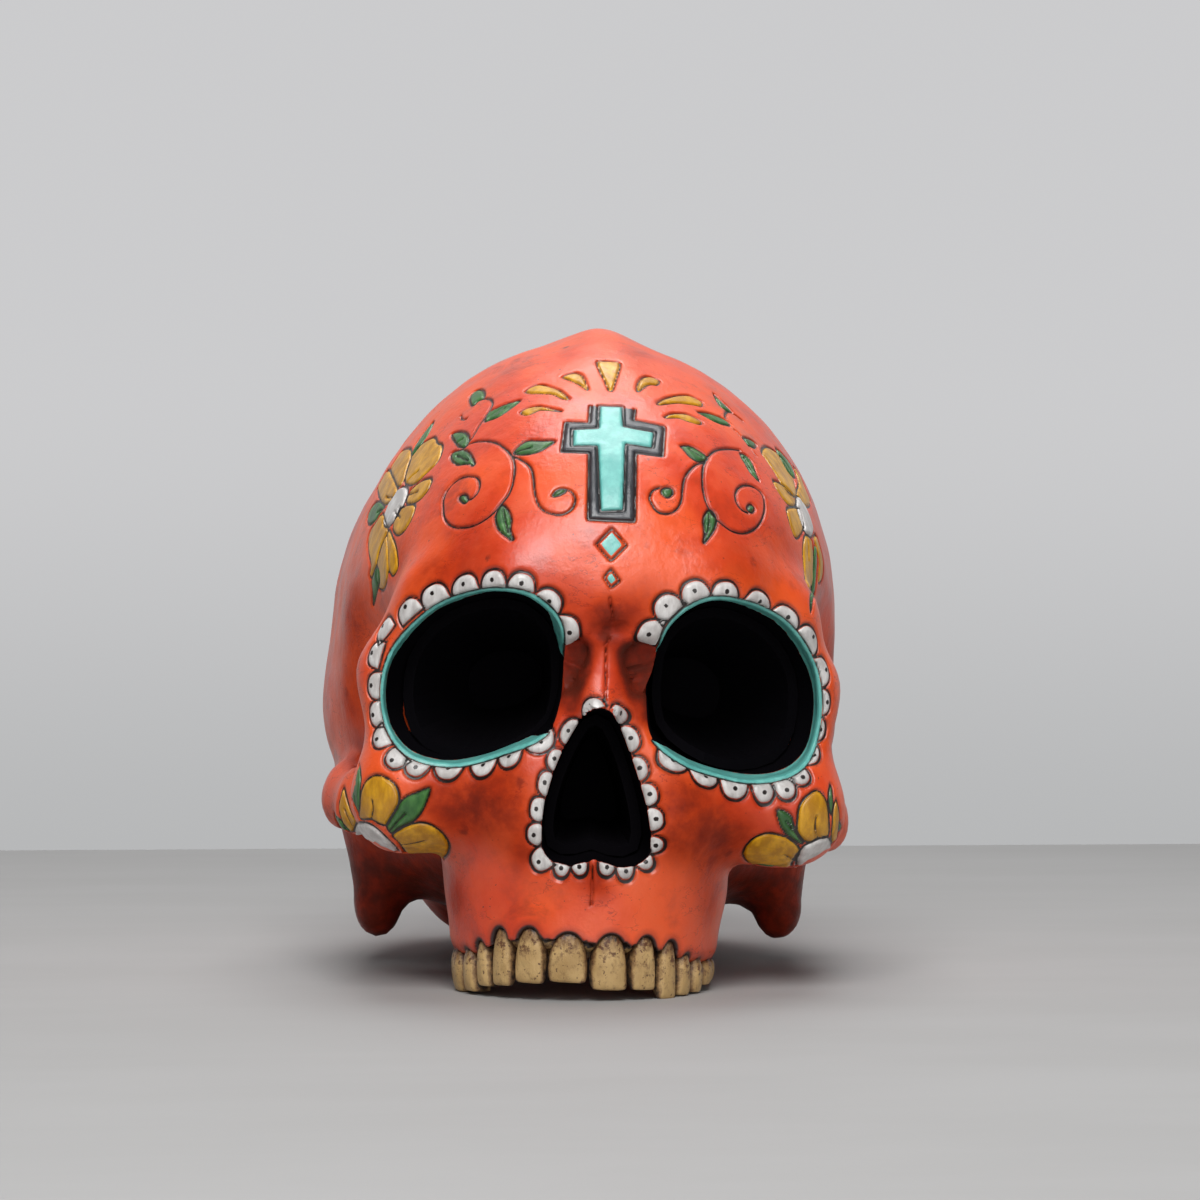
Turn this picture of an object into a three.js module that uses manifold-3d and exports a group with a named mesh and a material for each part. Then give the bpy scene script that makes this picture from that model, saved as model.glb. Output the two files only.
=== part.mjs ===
// A sugar skull: an adult skull without its lower jaw, standing on its teeth and on the back of its base.
// Millimetres. +X is to the right of someone looking at the face, the face looks along -Y, +Z is up.
// Left and right in the names are those of someone looking at the face.

import * as THREE from 'three';
import Module from 'manifold-3d';
import { MarchingCubes } from 'three/addons/objects/MarchingCubes.js';
import { mergeVertices } from 'three/addons/utils/BufferGeometryUtils.js';

// The whole skull
const HALF_WIDTH = 66;
const HALF_LENGTH = 89;
const HEIGHT = 159;
const LEAN_DEGREES = 2.5;
const SPANS = [HALF_WIDTH, HALF_LENGTH, HEIGHT];

// The gap left at every seam, and how far a cut runs past what it cuts
const SEAM_GAP = 0.3;
const OVERRUN = 18;

// Width over which the mirrored forms run into each other at the middle
const MIDLINE_EASE = 3;

// Eye sockets
const EYE_WIDTH = 38.6;
const EYE_HEIGHT = 41;
const EYE_SPACING = 60;
const EYE_ABOVE_TABLE = 71.5;
const EYE_DEPTH = 42;
const EYE_BACK = 31;
const EYE_RIM_FRONT = 79;
const EYE_RIM_SWEEP = 19;
const EYE_RIM_WIDTH = 39;
const EYE_INNER_EDGE = 11;
const EYE_DRIFT = 13;
const EYE_BACK_SHARE = 0.25;
const EYE_TAPER_POWER = 1.1;
const EYE_RING_SHARES = [0.35, 0.55, 0.78, 1];
const EYE_FRONT_RING_SHARE = 0.15;

// Nose opening
const NOSE_WIDTH = 25.6;
const NOSE_HEIGHT = 35;
const NOSE_ABOVE_TABLE = 48.5;
const NOSE_FRONT = 80;
const NOSE_BACK = 42;
const NOSE_BACK_SHARE = 0.65;

// Black shells inside the openings
const LINING_WALL = 2.4;
const EYE_LIP = 5;
const EYE_LINING_FRONT = 68;
const NOSE_LINING_FRONT = 74;

// Teeth
const ARCH_HALF_WIDTH = 29.2;
const ARCH_HALF_LENGTH = 33;
const ARCH_CENTRE_BACK = 49;
const ARCH_END_DEGREES = 25;
const CROWN_GAP = 0.35;
const GUM_HEIGHT = 14;
const NECK_ABOVE_GUM = 1.5;
const ROOT_TOP = 24;
const ROOT_INSET = 1.6;
const TEETH = {
  central_incisor: { width: 8.6, depth: 6.4, edgeDepthShare: 0.4, edgeHeight: { left: 4, right: 2.6 } },
  lateral_incisor: { width: 6.4, depth: 6.2, edgeDepthShare: 0.4, edgeHeight: { left: 3.1, right: 2.7 } },
  canine: { width: 7, depth: 7.2, edgeDepthShare: 0.45, edgeHeight: { left: 2.2, right: 0.5 } },
  first_premolar: { width: 6.4, depth: 7.6, edgeDepthShare: 0.8, edgeHeight: { left: 1, right: 1.2 } },
  second_premolar: { width: 6.2, depth: 7.8, edgeDepthShare: 0.85, edgeHeight: { left: -0.2, right: 1.8 } },
  first_molar: { width: 8, depth: 8.2, edgeDepthShare: 0.9, edgeHeight: { left: -1.6, right: 3.4 } },
  second_molar: { width: 6.6, depth: 7.8, edgeDepthShare: 0.9, edgeHeight: { left: -1.6, right: 3.6 } },
};
const SIDES = { left: -1, right: 1 };

// A tooth's rings from its edge up to its root: how far up from the edge to the gum, and its width, depth
// and inset there, in shares. Its corners are rounded by a power, and it narrows towards the tongue.
const TOOTH_BODY = { upShare: 0.3, widthShare: 1, depthShare: 0.8, insetShare: 0 };
const TOOTH_SHOULDER = { upShare: 0.8, widthShare: 0.9, depthShare: 0.95, insetShare: 0 };
const TOOTH_EDGE = { widthShare: 0.92, insetShare: 0 };
const TOOTH_NECK = { widthShare: 0.72, depthShare: 0.85, insetShare: 0.3 };
const TOOTH_ROOT = { widthShare: 0.36, depthShare: 0.4, insetShare: 1 };
const TOOTH_RING_POINTS = 12;
const TOOTH_CORNER_POWER = 0.65;
const TOOTH_TONGUE_SHARE = 0.8;

// Outlines in shares of half the opening's width and height, seen from the front, inner side first
const EYE_OUTLINE_SHARES = [
  [-1, 0.22], [-0.9, 0.68], [-0.5, 0.98], [0.05, 0.98], [0.6, 0.73], [0.97, 0.22],
  [1, -0.42], [0.76, -0.85], [0.21, -1], [-0.39, -0.88], [-0.86, -0.6], [-1, -0.22],
];
const NOSE_OUTLINE_SHARES = [
  [0, 1], [0.25, 0.93], [0.48, 0.66], [0.72, 0.26], [0.91, -0.17], [1, -0.6], [0.91, -0.89],
  [0.55, -1], [0.17, -0.95], [0, -0.91], [-0.17, -0.95], [-0.55, -1], [-0.91, -0.89],
  [-1, -0.6], [-0.91, -0.17], [-0.72, 0.26], [-0.48, 0.66], [-0.25, 0.93],
];
const EYE_OUTLINE_POINTS = 26;
const NOSE_OUTLINE_POINTS = 24;

// The bone as blended forms. Places and radii of balls and drums are shares of the half width,
// the half length and the height. Radii and squash of bars, and blends, are shares of the half width.
// A paired form stands on both sides of the middle.
const BONE_SHARES = [
  { part: 'braincase', ball: [[0, 0.067, 0.528], [0.955, 0.978, 0.453]], blend: 0 },
  { part: 'crown ridge', ball: [[0, 0.022, 0.654], [0.18, 0.57, 0.336]], blend: 0.15 },
  {
    part: 'side of the crown', paired: true,
    ball: [[0.5, 0.382, 0.547], [0.42, 0.404, 0.22]], blend: 0.21,
  },
  { part: 'back of the head', ball: [[0, 0.562, 0.289], [0.758, 0.449, 0.226]], blend: 0.21 },
  { part: 'temple', paired: true, ball: [[0.47, 0.225, 0.377], [0.5, 0.449, 0.176]], blend: 0.21 },
  { part: 'base', ball: [[0, 0.247, 0.201], [0.818, 0.539, 0.138]], blend: 0.21 },
  { part: 'resting pad', ball: [[0, 0.56, 0.09], [0.53, 0.27, 0.105]], blend: 0.21 },
  { part: 'forehead', ball: [[0, -0.382, 0.61], [0.727, 0.551, 0.233]], blend: 0.18 },
  {
    part: 'temple hollow', paired: true, carve: true,
    ball: [[1.03, -0.427, 0.428], [0.318, 0.225, 0.164]], blend: 0.15,
  },
  {
    part: 'inner brow', paired: true,
    bar: [[0.076, -0.82, 0.553], [0.333, -0.809, 0.585], [0.091, 0.083]], blend: 0.24,
  },
  {
    part: 'outer brow', paired: true,
    bar: [[0.333, -0.809, 0.585], [0.621, -0.697, 0.553], [0.083, 0.076]], blend: 0.21,
  },
  {
    part: 'brow corner', paired: true,
    bar: [[0.621, -0.697, 0.553], [0.758, -0.629, 0.453], [0.076, 0.083]], blend: 0.18,
  },
  {
    part: 'outer eye rim', paired: true,
    bar: [[0.758, -0.629, 0.453], [0.727, -0.685, 0.314], [0.083, 0.098]], blend: 0.15,
  },
  { part: 'cheek', paired: true, ball: [[0.636, -0.674, 0.27], [0.227, 0.124, 0.075]], blend: 0.15 },
  { part: 'upper jaw', ball: [[0, -0.539, 0.239], [0.53, 0.393, 0.189]], blend: 0.12 },
  {
    part: 'lower eye rim', paired: true,
    bar: [[0.273, -0.798, 0.283], [0.667, -0.719, 0.277], [0.152, 0.136]], blend: 0.14,
  },
  { part: 'tooth ridge', drum: [[0, -0.575, 0.151], [0.492, 0.386, 0.082], 0.06], blend: 0.11 },
  { part: 'between the eyes', ball: [[0, -0.337, 0.377], [0.212, 0.472, 0.214]], blend: 0.12 },
  { part: 'nose ridge', bar: [[0, -0.865, 0.516], [0, -0.944, 0.415], [0.045, 0.061]], blend: 0.08 },
  {
    part: 'side of the nose', paired: true,
    bar: [[0.106, -0.854, 0.44], [0.258, -0.843, 0.27], [0.076, 0.114]], blend: 0.11,
  },
  {
    part: 'hollow above the canine', paired: true, carve: true,
    ball: [[0.409, -1.045, 0.214], [0.136, 0.101, 0.057]], blend: 0.09,
  },
  {
    part: 'hollow under the cheek', paired: true, carve: true,
    ball: [[0.833, -0.427, 0.075], [0.333, 0.404, 0.126]], blend: 0.09,
  },
  {
    part: 'hollow behind the cheek', paired: true, carve: true,
    ball: [[0.758, -0.427, 0.327], [0.121, 0.18, 0.151]], blend: 0.06,
  },
  {
    part: 'front of the arch', paired: true,
    bar: [[0.727, -0.629, 0.27], [0.864, -0.427, 0.27], [0.098, 0.07], [1, 1, 1.5]], blend: 0.09,
  },
  {
    part: 'middle of the arch', paired: true,
    bar: [[0.864, -0.427, 0.27], [0.894, -0.135, 0.264], [0.07, 0.073], [1, 1, 1.5]], blend: 0.06,
  },
  {
    part: 'root of the arch', paired: true,
    bar: [[0.894, -0.135, 0.264], [0.803, 0.09, 0.27], [0.073, 0.106], [1, 1, 1.3]], blend: 0.09,
  },
  {
    part: 'process behind the ear', paired: true,
    bar: [[0.712, 0.157, 0.214], [0.75, 0.124, 0.115], [0.258, 0.159], [0.72, 1, 1]], blend: 0.14,
  },
  {
    part: 'neck joint', paired: true,
    bar: [[0.21, 0.09, 0.085], [0.18, 0.2, 0.07], [0.091, 0.091]], blend: 0.08,
  },
  {
    part: 'wing of the palate', paired: true,
    bar: [[0.227, -0.247, 0.239], [0.227, -0.225, 0.088], [0.076, 0.053], [0.5, 1.3, 1]], blend: 0.08,
  },
  {
    part: 'hole for the spine', carve: true,
    bar: [[0, 0.24, -0.126], [0, 0.24, 0.16], [0.22, 0.19], [1, 1.15, 1]], blend: 0.06,
  },
  {
    part: 'hollow of the palate', carve: true,
    ball: [[0, -0.494, 0.013], [0.318, 0.337, 0.101]], blend: 0.06,
  },
  {
    part: 'hollow of the throat', carve: true,
    ball: [[0, -0.09, 0.05], [0.394, 0.17, 0.088]], blend: 0.12,
  },
];

// The seams, as outlines of the pieces seen from the front, in shares of the half width and the height,
// and the depths where the pieces end, in shares of the half length.
const CHEEK_SHARES = [
  [0.41, 0.327], [0.53, 0.226], [0.61, 0.126], [1.2, 0.126], [1.2, 0.484], [0.6, 0.484],
];
const CHEEK_BACK_SHARE = -0.528;
const ARCH_SHARES = [[0.78, 0.2], [1.2, 0.2], [1.2, 0.33], [0.78, 0.33]];
const ARCH_BACK_SHARE = -0.26;
const JAW_LOW_SHARES = [[0, -0.1], [0.61, -0.1], [0.61, 0.126], [0.53, 0.226], [0.42, 0.318], [0, 0.318]];
const JAW_BACK_SHARE = -0.157;
const JAW_HIGH_SHARES = [[0, 0.28], [0.46, 0.28], [0.41, 0.327], [0.18, 0.5], [0.13, 0.535], [0, 0.547]];
const JAW_HIGH_BACK_SHARE = -0.674;
const NASAL_SHARES = [[0, 0.384], [0.114, 0.384], [0.083, 0.453], [0.076, 0.535], [0, 0.547]];
const NASAL_BACK_SHARE = -0.83;

// The grid on which the bone is drawn: points along each axis, its ends in shares of the spans,
// and how much closer its points lie at the face and at the base than on average.
const GRID_POINTS = 32;
const GRID_START_SHARES = [-1.07, -1.07, -0.04];
const GRID_END_SHARES = [1.07, 1.1, 1.04];
const GRID_CROWDING_SHARES = [0, 0.4, 0.3];
const NEAREST_TO_POINT = 0.12;

const BONE_LOOK = { color: 0xd64a2c, roughness: 0.45 };
const LINING_LOOK = { color: 0x0d0c0c, roughness: 0.9 };
const TOOTH_LOOK = { color: 0xb39763, roughness: 0.4 };

const { Manifold, Mesh } = await Module().then((wasm) => {
  wasm.setup();
  return wasm;
});

// Smooth least value of two: the forms run into each other over a blend width.
function smoothMin(a, b, blend) {
  if (blend === 0) return Math.min(a, b);
  const h = THREE.MathUtils.clamp(0.5 + (0.5 * (b - a)) / blend, 0, 1);
  return b * (1 - h) + a * h - blend * h * (1 - h);
}

function smoothMax(a, b, blend) {
  return -smoothMin(-a, -b, blend);
}

const inSpans = (shares) => shares.map((share, axis) => share * SPANS[axis]);

// Distance to an egg with three radii
function ball([centreShares, radiusShares]) {
  const [cx, cy, cz] = inSpans(centreShares);
  const [rx, ry, rz] = inSpans(radiusShares);
  return (x, y, z) => {
    const near = Math.hypot((x - cx) / rx, (y - cy) / ry, (z - cz) / rz);
    const slope = Math.hypot((x - cx) / rx ** 2, (y - cy) / ry ** 2, (z - cz) / rz ** 2);
    return slope === 0 ? -Math.min(rx, ry, rz) : (near * (near - 1)) / slope;
  };
}

// Distance to a round bar that tapers from one end to the other, squashed along the axes
function bar([startShares, endShares, radiusShares, squash = [1, 1, 1]]) {
  const start = inSpans(startShares);
  const along = inSpans(endShares).map((end, axis) => (end - start[axis]) / squash[axis]);
  const [startRadius, endRadius] = radiusShares.map((share) => share * HALF_WIDTH);
  const lengthSquared = along[0] ** 2 + along[1] ** 2 + along[2] ** 2;
  return (x, y, z) => {
    const px = (x - start[0]) / squash[0];
    const py = (y - start[1]) / squash[1];
    const pz = (z - start[2]) / squash[2];
    const dot = px * along[0] + py * along[1] + pz * along[2];
    const t = THREE.MathUtils.clamp(dot / lengthSquared, 0, 1);
    const away = Math.hypot(px - t * along[0], py - t * along[1], pz - t * along[2]);
    return (away - startRadius - t * (endRadius - startRadius)) * Math.min(...squash);
  };
}

// Distance to an upright oval drum with an eased edge
function drum([centreShares, radiusShares, edgeShare]) {
  const [cx, cy, cz] = inSpans(centreShares);
  const [rx, ry, rz] = inSpans(radiusShares);
  const edge = edgeShare * HALF_WIDTH;
  return (x, y, z) => {
    const side = (Math.hypot((x - cx) / rx, (y - cy) / ry) - 1) * Math.min(rx, ry);
    return smoothMax(side, Math.abs(z - cz) - rz, edge);
  };
}

const FORMS = BONE_SHARES.map((form) => ({
  distance: form.ball ? ball(form.ball) : form.bar ? bar(form.bar) : drum(form.drum),
  paired: form.paired ?? false,
  carve: form.carve ?? false,
  blend: form.blend * HALF_WIDTH,
}));

// Distance to the surface of the bone, negative inside it
function boneDistance(x, y, z) {
  const mirrored = Math.hypot(x, MIDLINE_EASE);
  let distance = FORMS[0].distance(x, y, z);
  for (const form of FORMS.slice(1)) {
    const own = form.distance(form.paired ? mirrored : x, y, z);
    distance = form.carve
      ? smoothMax(distance, -own, form.blend)
      : smoothMin(distance, own, form.blend);
  }
  return distance;
}

// Position along an axis of a point of the drawing grid
function gridPlace(point, axis) {
  const t = (point - 1) / (GRID_POINTS - 3);
  const crowding = GRID_CROWDING_SHARES[axis];
  const eased = t * (1 - crowding) + t * t * crowding;
  return SPANS[axis] * THREE.MathUtils.lerp(GRID_START_SHARES[axis], GRID_END_SHARES[axis], eased);
}

// A closed solid from a geometry of which only the positions count
function solidOf(geometry) {
  geometry.deleteAttribute('normal');
  geometry.deleteAttribute('uv');
  const merged = mergeVertices(geometry);
  const triangles = new Uint32Array(merged.index.array);
  const positions = merged.attributes.position.array;
  const make = () => new Manifold(new Mesh({ numProp: 3, vertProperties: positions, triVerts: triangles }));
  const solid = make();
  if (solid.volume() > 0) return solid;
  for (let i = 0; i < triangles.length; i += 3) {
    [triangles[i], triangles[i + 1]] = [triangles[i + 1], triangles[i]];
  }
  return make();
}

// The bone drawn on a grid that is finer at the face than at the back and the top
function boneSolid() {
  const cubes = new MarchingCubes(GRID_POINTS, undefined, false, false, GRID_POINTS ** 3);
  cubes.isolation = 0;
  const places = [0, 1, 2].map((axis) =>
    Array.from({ length: GRID_POINTS }, (_, point) => gridPlace(point, axis)));
  for (let k = 0; k < GRID_POINTS; k++) {
    for (let j = 0; j < GRID_POINTS; j++) {
      for (let i = 0; i < GRID_POINTS; i++) {
        const depth = -boneDistance(places[0][i], places[1][j], places[2][k]);
        const shown = Math.abs(depth) < NEAREST_TO_POINT ? Math.sign(depth) * NEAREST_TO_POINT : depth;
        cubes.setCell(i, j, k, shown);
      }
    }
  }
  cubes.update();
  const drawn = cubes.positionArray.slice(0, cubes.count * 3);
  const half = GRID_POINTS / 2;
  const positions = drawn.map((value, n) => gridPlace(value * half + half, n % 3));
  const geometry = new THREE.BufferGeometry();
  geometry.setAttribute('position', new THREE.BufferAttribute(positions, 3));
  return solidOf(geometry);
}

// A closed solid through rings of as many points each, the first and the last filled in
function loft(rings) {
  const count = rings[0].length;
  const middle = (ring) => ring.reduce((sum, p) => sum.add(p), new THREE.Vector3()).divideScalar(count);
  const points = [...rings.flat(), middle(rings[0]), middle(rings.at(-1))];
  const startCap = points.length - 2;
  const endCap = points.length - 1;
  const lastRing = (rings.length - 1) * count;
  const index = [];
  for (let i = 0; i < count; i++) {
    const next = (i + 1) % count;
    index.push(startCap, next, i, endCap, lastRing + i, lastRing + next);
    for (let ring = 0; ring < lastRing; ring += count) {
      index.push(ring + i, ring + next, ring + count + next);
      index.push(ring + i, ring + count + next, ring + count + i);
    }
  }
  const geometry = new THREE.BufferGeometry().setFromPoints(points);
  geometry.setIndex(index);
  return solidOf(geometry);
}

// A closed outline moved inwards by a distance; it runs anticlockwise
function insetOutline(points, distance) {
  const inward = (from, to) => new THREE.Vector2(from.y - to.y, to.x - from.x).normalize();
  return points.map((point, i) => {
    const before = inward(points.at(i - 1), point);
    const after = inward(point, points[(i + 1) % points.length]);
    const corner = before.clone().add(after).normalize();
    return point.clone().addScaledVector(corner, distance / corner.dot(after));
  });
}

function anticlockwise(points) {
  return THREE.ShapeUtils.isClockWise(points) ? points.toReversed() : points;
}

// A smooth closed outline through a table of shares of a half width and a half height
function smoothOutline(shares, halfWidth, halfHeight, count) {
  const corners = shares.map(([x, z]) => new THREE.Vector3(x * halfWidth, z * halfHeight, 0));
  const curve = new THREE.CatmullRomCurve3(corners, true, 'catmullrom');
  const points = curve.getSpacedPoints(count).slice(0, count);
  return anticlockwise(points.map((p) => new THREE.Vector2(p.x, p.y)));
}

// An eye socket as a solid, or one that lies inside it by a clearance. The front rings are given by
// how far along they lie where the rim lies at a given depth.
function eyeSocket(side, clearance, frontRings) {
  const outline = smoothOutline(EYE_OUTLINE_SHARES, EYE_WIDTH / 2, EYE_HEIGHT / 2, EYE_OUTLINE_POINTS);
  const rimAt = (point) => {
    const across = (point.x + EYE_SPACING / 2 - EYE_INNER_EDGE) / EYE_RIM_WIDTH;
    return EYE_RIM_SWEEP * THREE.MathUtils.clamp(across, 0, 1) - EYE_RIM_FRONT;
  };
  const place = (point, y) => {
    const depth = THREE.MathUtils.clamp((y - rimAt(point)) / EYE_DEPTH, 0, 1);
    const taper = 1 - (1 - EYE_BACK_SHARE) * depth ** EYE_TAPER_POWER;
    const x = EYE_SPACING / 2 - EYE_DRIFT * depth + point.x * taper;
    return new THREE.Vector3(side * x, y, EYE_ABOVE_TABLE + point.y * taper);
  };
  const innerRings = EYE_RING_SHARES.map((share) => (rim) =>
    THREE.MathUtils.lerp(rim, -EYE_BACK - clearance, share));
  const inset = insetOutline(outline, clearance);
  return loft([...frontRings, ...innerRings].map((ring) =>
    inset.map((point) => place(point, ring(rimAt(point))))));
}

// The nose opening as a solid, or one that lies inside it by a clearance
function noseSocket(clearance, front) {
  const outline = smoothOutline(NOSE_OUTLINE_SHARES, NOSE_WIDTH / 2, NOSE_HEIGHT / 2, NOSE_OUTLINE_POINTS);
  const inset = insetOutline(outline, clearance);
  const back = -NOSE_BACK - clearance;
  const ring = (y) => {
    const depth = THREE.MathUtils.clamp((y + NOSE_FRONT) / (NOSE_FRONT - NOSE_BACK), 0, 1);
    const taper = 1 - (1 - NOSE_BACK_SHARE) * depth;
    return inset.map((p) => new THREE.Vector3(p.x * taper, y, NOSE_ABOVE_TABLE + p.y * taper));
  };
  return loft([ring(front), ring((front + back) / 2), ring(back)]);
}

// An upright block behind an outline seen from the front, in shares, on one side of the middle
function frontBlock(shares, side, backShare, inset) {
  const points = shares.map(([x, z]) => new THREE.Vector2(side * x * HALF_WIDTH, z * HEIGHT));
  const shape = new THREE.Shape(insetOutline(anticlockwise(points), inset));
  const front = -HALF_LENGTH - OVERRUN;
  const back = backShare * HALF_LENGTH - inset;
  const geometry = new THREE.ExtrudeGeometry(shape, { depth: back - front, bevelEnabled: false });
  geometry.rotateX(Math.PI / 2).translate(0, back, 0);
  return solidOf(geometry);
}

// What lies under the table, leant so that it is level once the skull leans
function belowTable() {
  const size = 2 * (HALF_LENGTH + OVERRUN);
  const slab = new THREE.BoxGeometry(size, size, HALF_WIDTH);
  slab.translate(0, 0, -HALF_WIDTH / 2).rotateY(-THREE.MathUtils.degToRad(LEAN_DEGREES));
  return solidOf(slab);
}

// The largest body of a solid: a seam can leave a crumb behind
function mainBody(solid) {
  const bodies = solid.decompose();
  return bodies.reduce((best, body) => (body.volume() > best.volume() ? body : best));
}

// One tooth as a solid, or its socket when a clearance is given. Crowns narrow towards the tongue.
function toothSolid(tooth, arcMiddle, side, clearance) {
  const arch = new THREE.EllipseCurve(0, -ARCH_CENTRE_BACK, ARCH_HALF_WIDTH, ARCH_HALF_LENGTH,
    -Math.PI / 2, THREE.MathUtils.degToRad(ARCH_END_DEGREES));
  const share = arcMiddle / arch.getLength();
  const middle = arch.getPointAt(share);
  const along = arch.getTangentAt(share);
  const inward = new THREE.Vector2(-along.y, along.x);
  const edge = tooth.edgeHeight[side];
  const upTo = (share) => THREE.MathUtils.lerp(edge, GUM_HEIGHT, share);
  const levels = [
    { ...TOOTH_EDGE, height: edge - clearance, depthShare: tooth.edgeDepthShare },
    { ...TOOTH_BODY, height: upTo(TOOTH_BODY.upShare) },
    { ...TOOTH_SHOULDER, height: upTo(TOOTH_SHOULDER.upShare) },
    { ...TOOTH_NECK, height: GUM_HEIGHT + NECK_ABOVE_GUM },
    { ...TOOTH_ROOT, height: ROOT_TOP + clearance },
  ];
  const rounded = (value) => Math.sign(value) * Math.abs(value) ** TOOTH_CORNER_POWER;
  const rings = levels.map((level) => {
    const halfWidth = (level.widthShare * (tooth.width - CROWN_GAP)) / 2 + clearance;
    const halfDepth = (level.depthShare * tooth.depth) / 2 + clearance;
    return Array.from({ length: TOOTH_RING_POINTS }, (_, i) => {
      const angle = (i / TOOTH_RING_POINTS) * 2 * Math.PI;
      const toTongue = rounded(Math.sin(angle));
      const across = rounded(Math.cos(angle)) * halfWidth * (1 - (1 - TOOTH_TONGUE_SHARE) * toTongue);
      const inwards = toTongue * halfDepth + level.insetShare * ROOT_INSET;
      const x = middle.x + along.x * across + inward.x * inwards;
      const y = middle.y + along.y * across + inward.y * inwards;
      return new THREE.Vector3(SIDES[side] * x, y, level.height);
    });
  });
  return loft(rings);
}

// Every tooth's place along the arch, the first one beside the middle
function toothPlaces() {
  let start = 0;
  return Object.entries(TEETH).flatMap(([name, tooth]) => {
    const arcMiddle = start + tooth.width / 2;
    start += tooth.width;
    return Object.keys(SIDES).map((side) => ({ name: `${name}_${side}`, tooth, arcMiddle, side }));
  });
}

function meshOf(name, solid, look) {
  const { numProp, numVert, vertProperties, triVerts } = solid.getMesh();
  const positions = new Float32Array(numVert * 3);
  for (let i = 0; i < numVert; i++) {
    positions.set(vertProperties.subarray(i * numProp, i * numProp + 3), i * 3);
  }
  const geometry = new THREE.BufferGeometry();
  geometry.setAttribute('position', new THREE.BufferAttribute(positions, 3));
  geometry.setIndex(new THREE.BufferAttribute(triVerts, 1));
  geometry.computeVertexNormals();
  const material = new THREE.MeshStandardMaterial(look);
  const mesh = new THREE.Mesh(geometry, material);
  mesh.name = name;
  return mesh;
}

const clearOfFace = -HALF_LENGTH - OVERRUN;
const openRings = [
  () => clearOfFace,
  (rim) => rim,
  (rim) => THREE.MathUtils.lerp(rim, -EYE_BACK, EYE_FRONT_RING_SHARE),
];
const table = belowTable();
const bone = Object.values(SIDES)
  .reduce((rest, side) => rest.subtract(eyeSocket(side, 0, openRings)), boneSolid())
  .subtract(noseSocket(0, clearOfFace))
  .subtract(table);

// Each piece of bone stays half a gap inside the seams, and the cranium is what they leave.
const HALF_GAP = SEAM_GAP / 2;
const cheekBlock = (side, inset) =>
  frontBlock(CHEEK_SHARES, side, CHEEK_BACK_SHARE, inset)
    .add(frontBlock(ARCH_SHARES, side, ARCH_BACK_SHARE, inset));
const jawBlock = (side, inset) =>
  frontBlock(JAW_LOW_SHARES, side, JAW_BACK_SHARE, inset)
    .add(frontBlock(JAW_HIGH_SHARES, side, JAW_HIGH_BACK_SHARE, inset));
const nasalBlock = (side, inset) => frontBlock(NASAL_SHARES, side, NASAL_BACK_SHARE, inset);

const pieces = [];
let cranium = bone;
for (const [sideName, side] of Object.entries(SIDES)) {
  const sockets = toothPlaces()
    .filter((place) => place.side === sideName)
    .map((place) => toothSolid(place.tooth, place.arcMiddle, place.side, SEAM_GAP));
  const jaw = sockets.reduce((rest, socket) => rest.subtract(socket),
    bone.intersect(jawBlock(side, HALF_GAP)).subtract(nasalBlock(side, -HALF_GAP)));
  pieces.push([`upper_jaw_${sideName}`, mainBody(jaw)]);
  pieces.push([`cheekbone_${sideName}`, mainBody(bone.intersect(cheekBlock(side, HALF_GAP)))]);
  pieces.push([`nasal_bone_${sideName}`, mainBody(bone.intersect(nasalBlock(side, HALF_GAP)))]);
  cranium = cranium
    .subtract(jawBlock(side, -HALF_GAP))
    .subtract(cheekBlock(side, -HALF_GAP))
    .subtract(nasalBlock(side, -HALF_GAP));
}
pieces.unshift(['cranium', mainBody(cranium)]);

const head = new THREE.Group();
head.rotation.y = THREE.MathUtils.degToRad(LEAN_DEGREES);
for (const [name, solid] of pieces) head.add(meshOf(name, solid, BONE_LOOK));

for (const [sideName, side] of Object.entries(SIDES)) {
  const lip = (rim) => Math.max(rim + EYE_LIP, -EYE_LINING_FRONT);
  const beforeLip = (rim) => lip(rim) - LINING_WALL;
  const lining = eyeSocket(side, SEAM_GAP, [lip])
    .subtract(eyeSocket(side, SEAM_GAP + LINING_WALL, [beforeLip, lip]));
  head.add(meshOf(`eye_lining_${sideName}`, lining, LINING_LOOK));
}
const noseLining = noseSocket(SEAM_GAP, -NOSE_LINING_FRONT)
  .subtract(noseSocket(SEAM_GAP + LINING_WALL, -NOSE_LINING_FRONT - LINING_WALL));
head.add(meshOf('nose_lining', noseLining, LINING_LOOK));

for (const { name, tooth, arcMiddle, side } of toothPlaces()) {
  const solid = toothSolid(tooth, arcMiddle, side, 0).subtract(table);
  head.add(meshOf(name, solid, TOOTH_LOOK));
}

// The origin lies on the table under the middle of the whole skull.
const skull = new THREE.Group();
skull.add(head);
const box = new THREE.Box3().setFromObject(skull, true);
const middle = box.getCenter(new THREE.Vector3());
head.position.set(-middle.x, -middle.y, 0);

export default skull;
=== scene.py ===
# A sugar skull of painted resin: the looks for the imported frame.
# Lengths are millimetres in the skull's own frame, which leans on the table, unless a name or comment says
# otherwise. Places ending in PIXELS are those of the 1200 by 1200 photograph. Left and right are the
# viewer's.

import math

import bmesh
import bpy
import numpy as np
from mathutils import Matrix, Vector, noise
from mathutils.bvhtree import BVHTree


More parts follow.
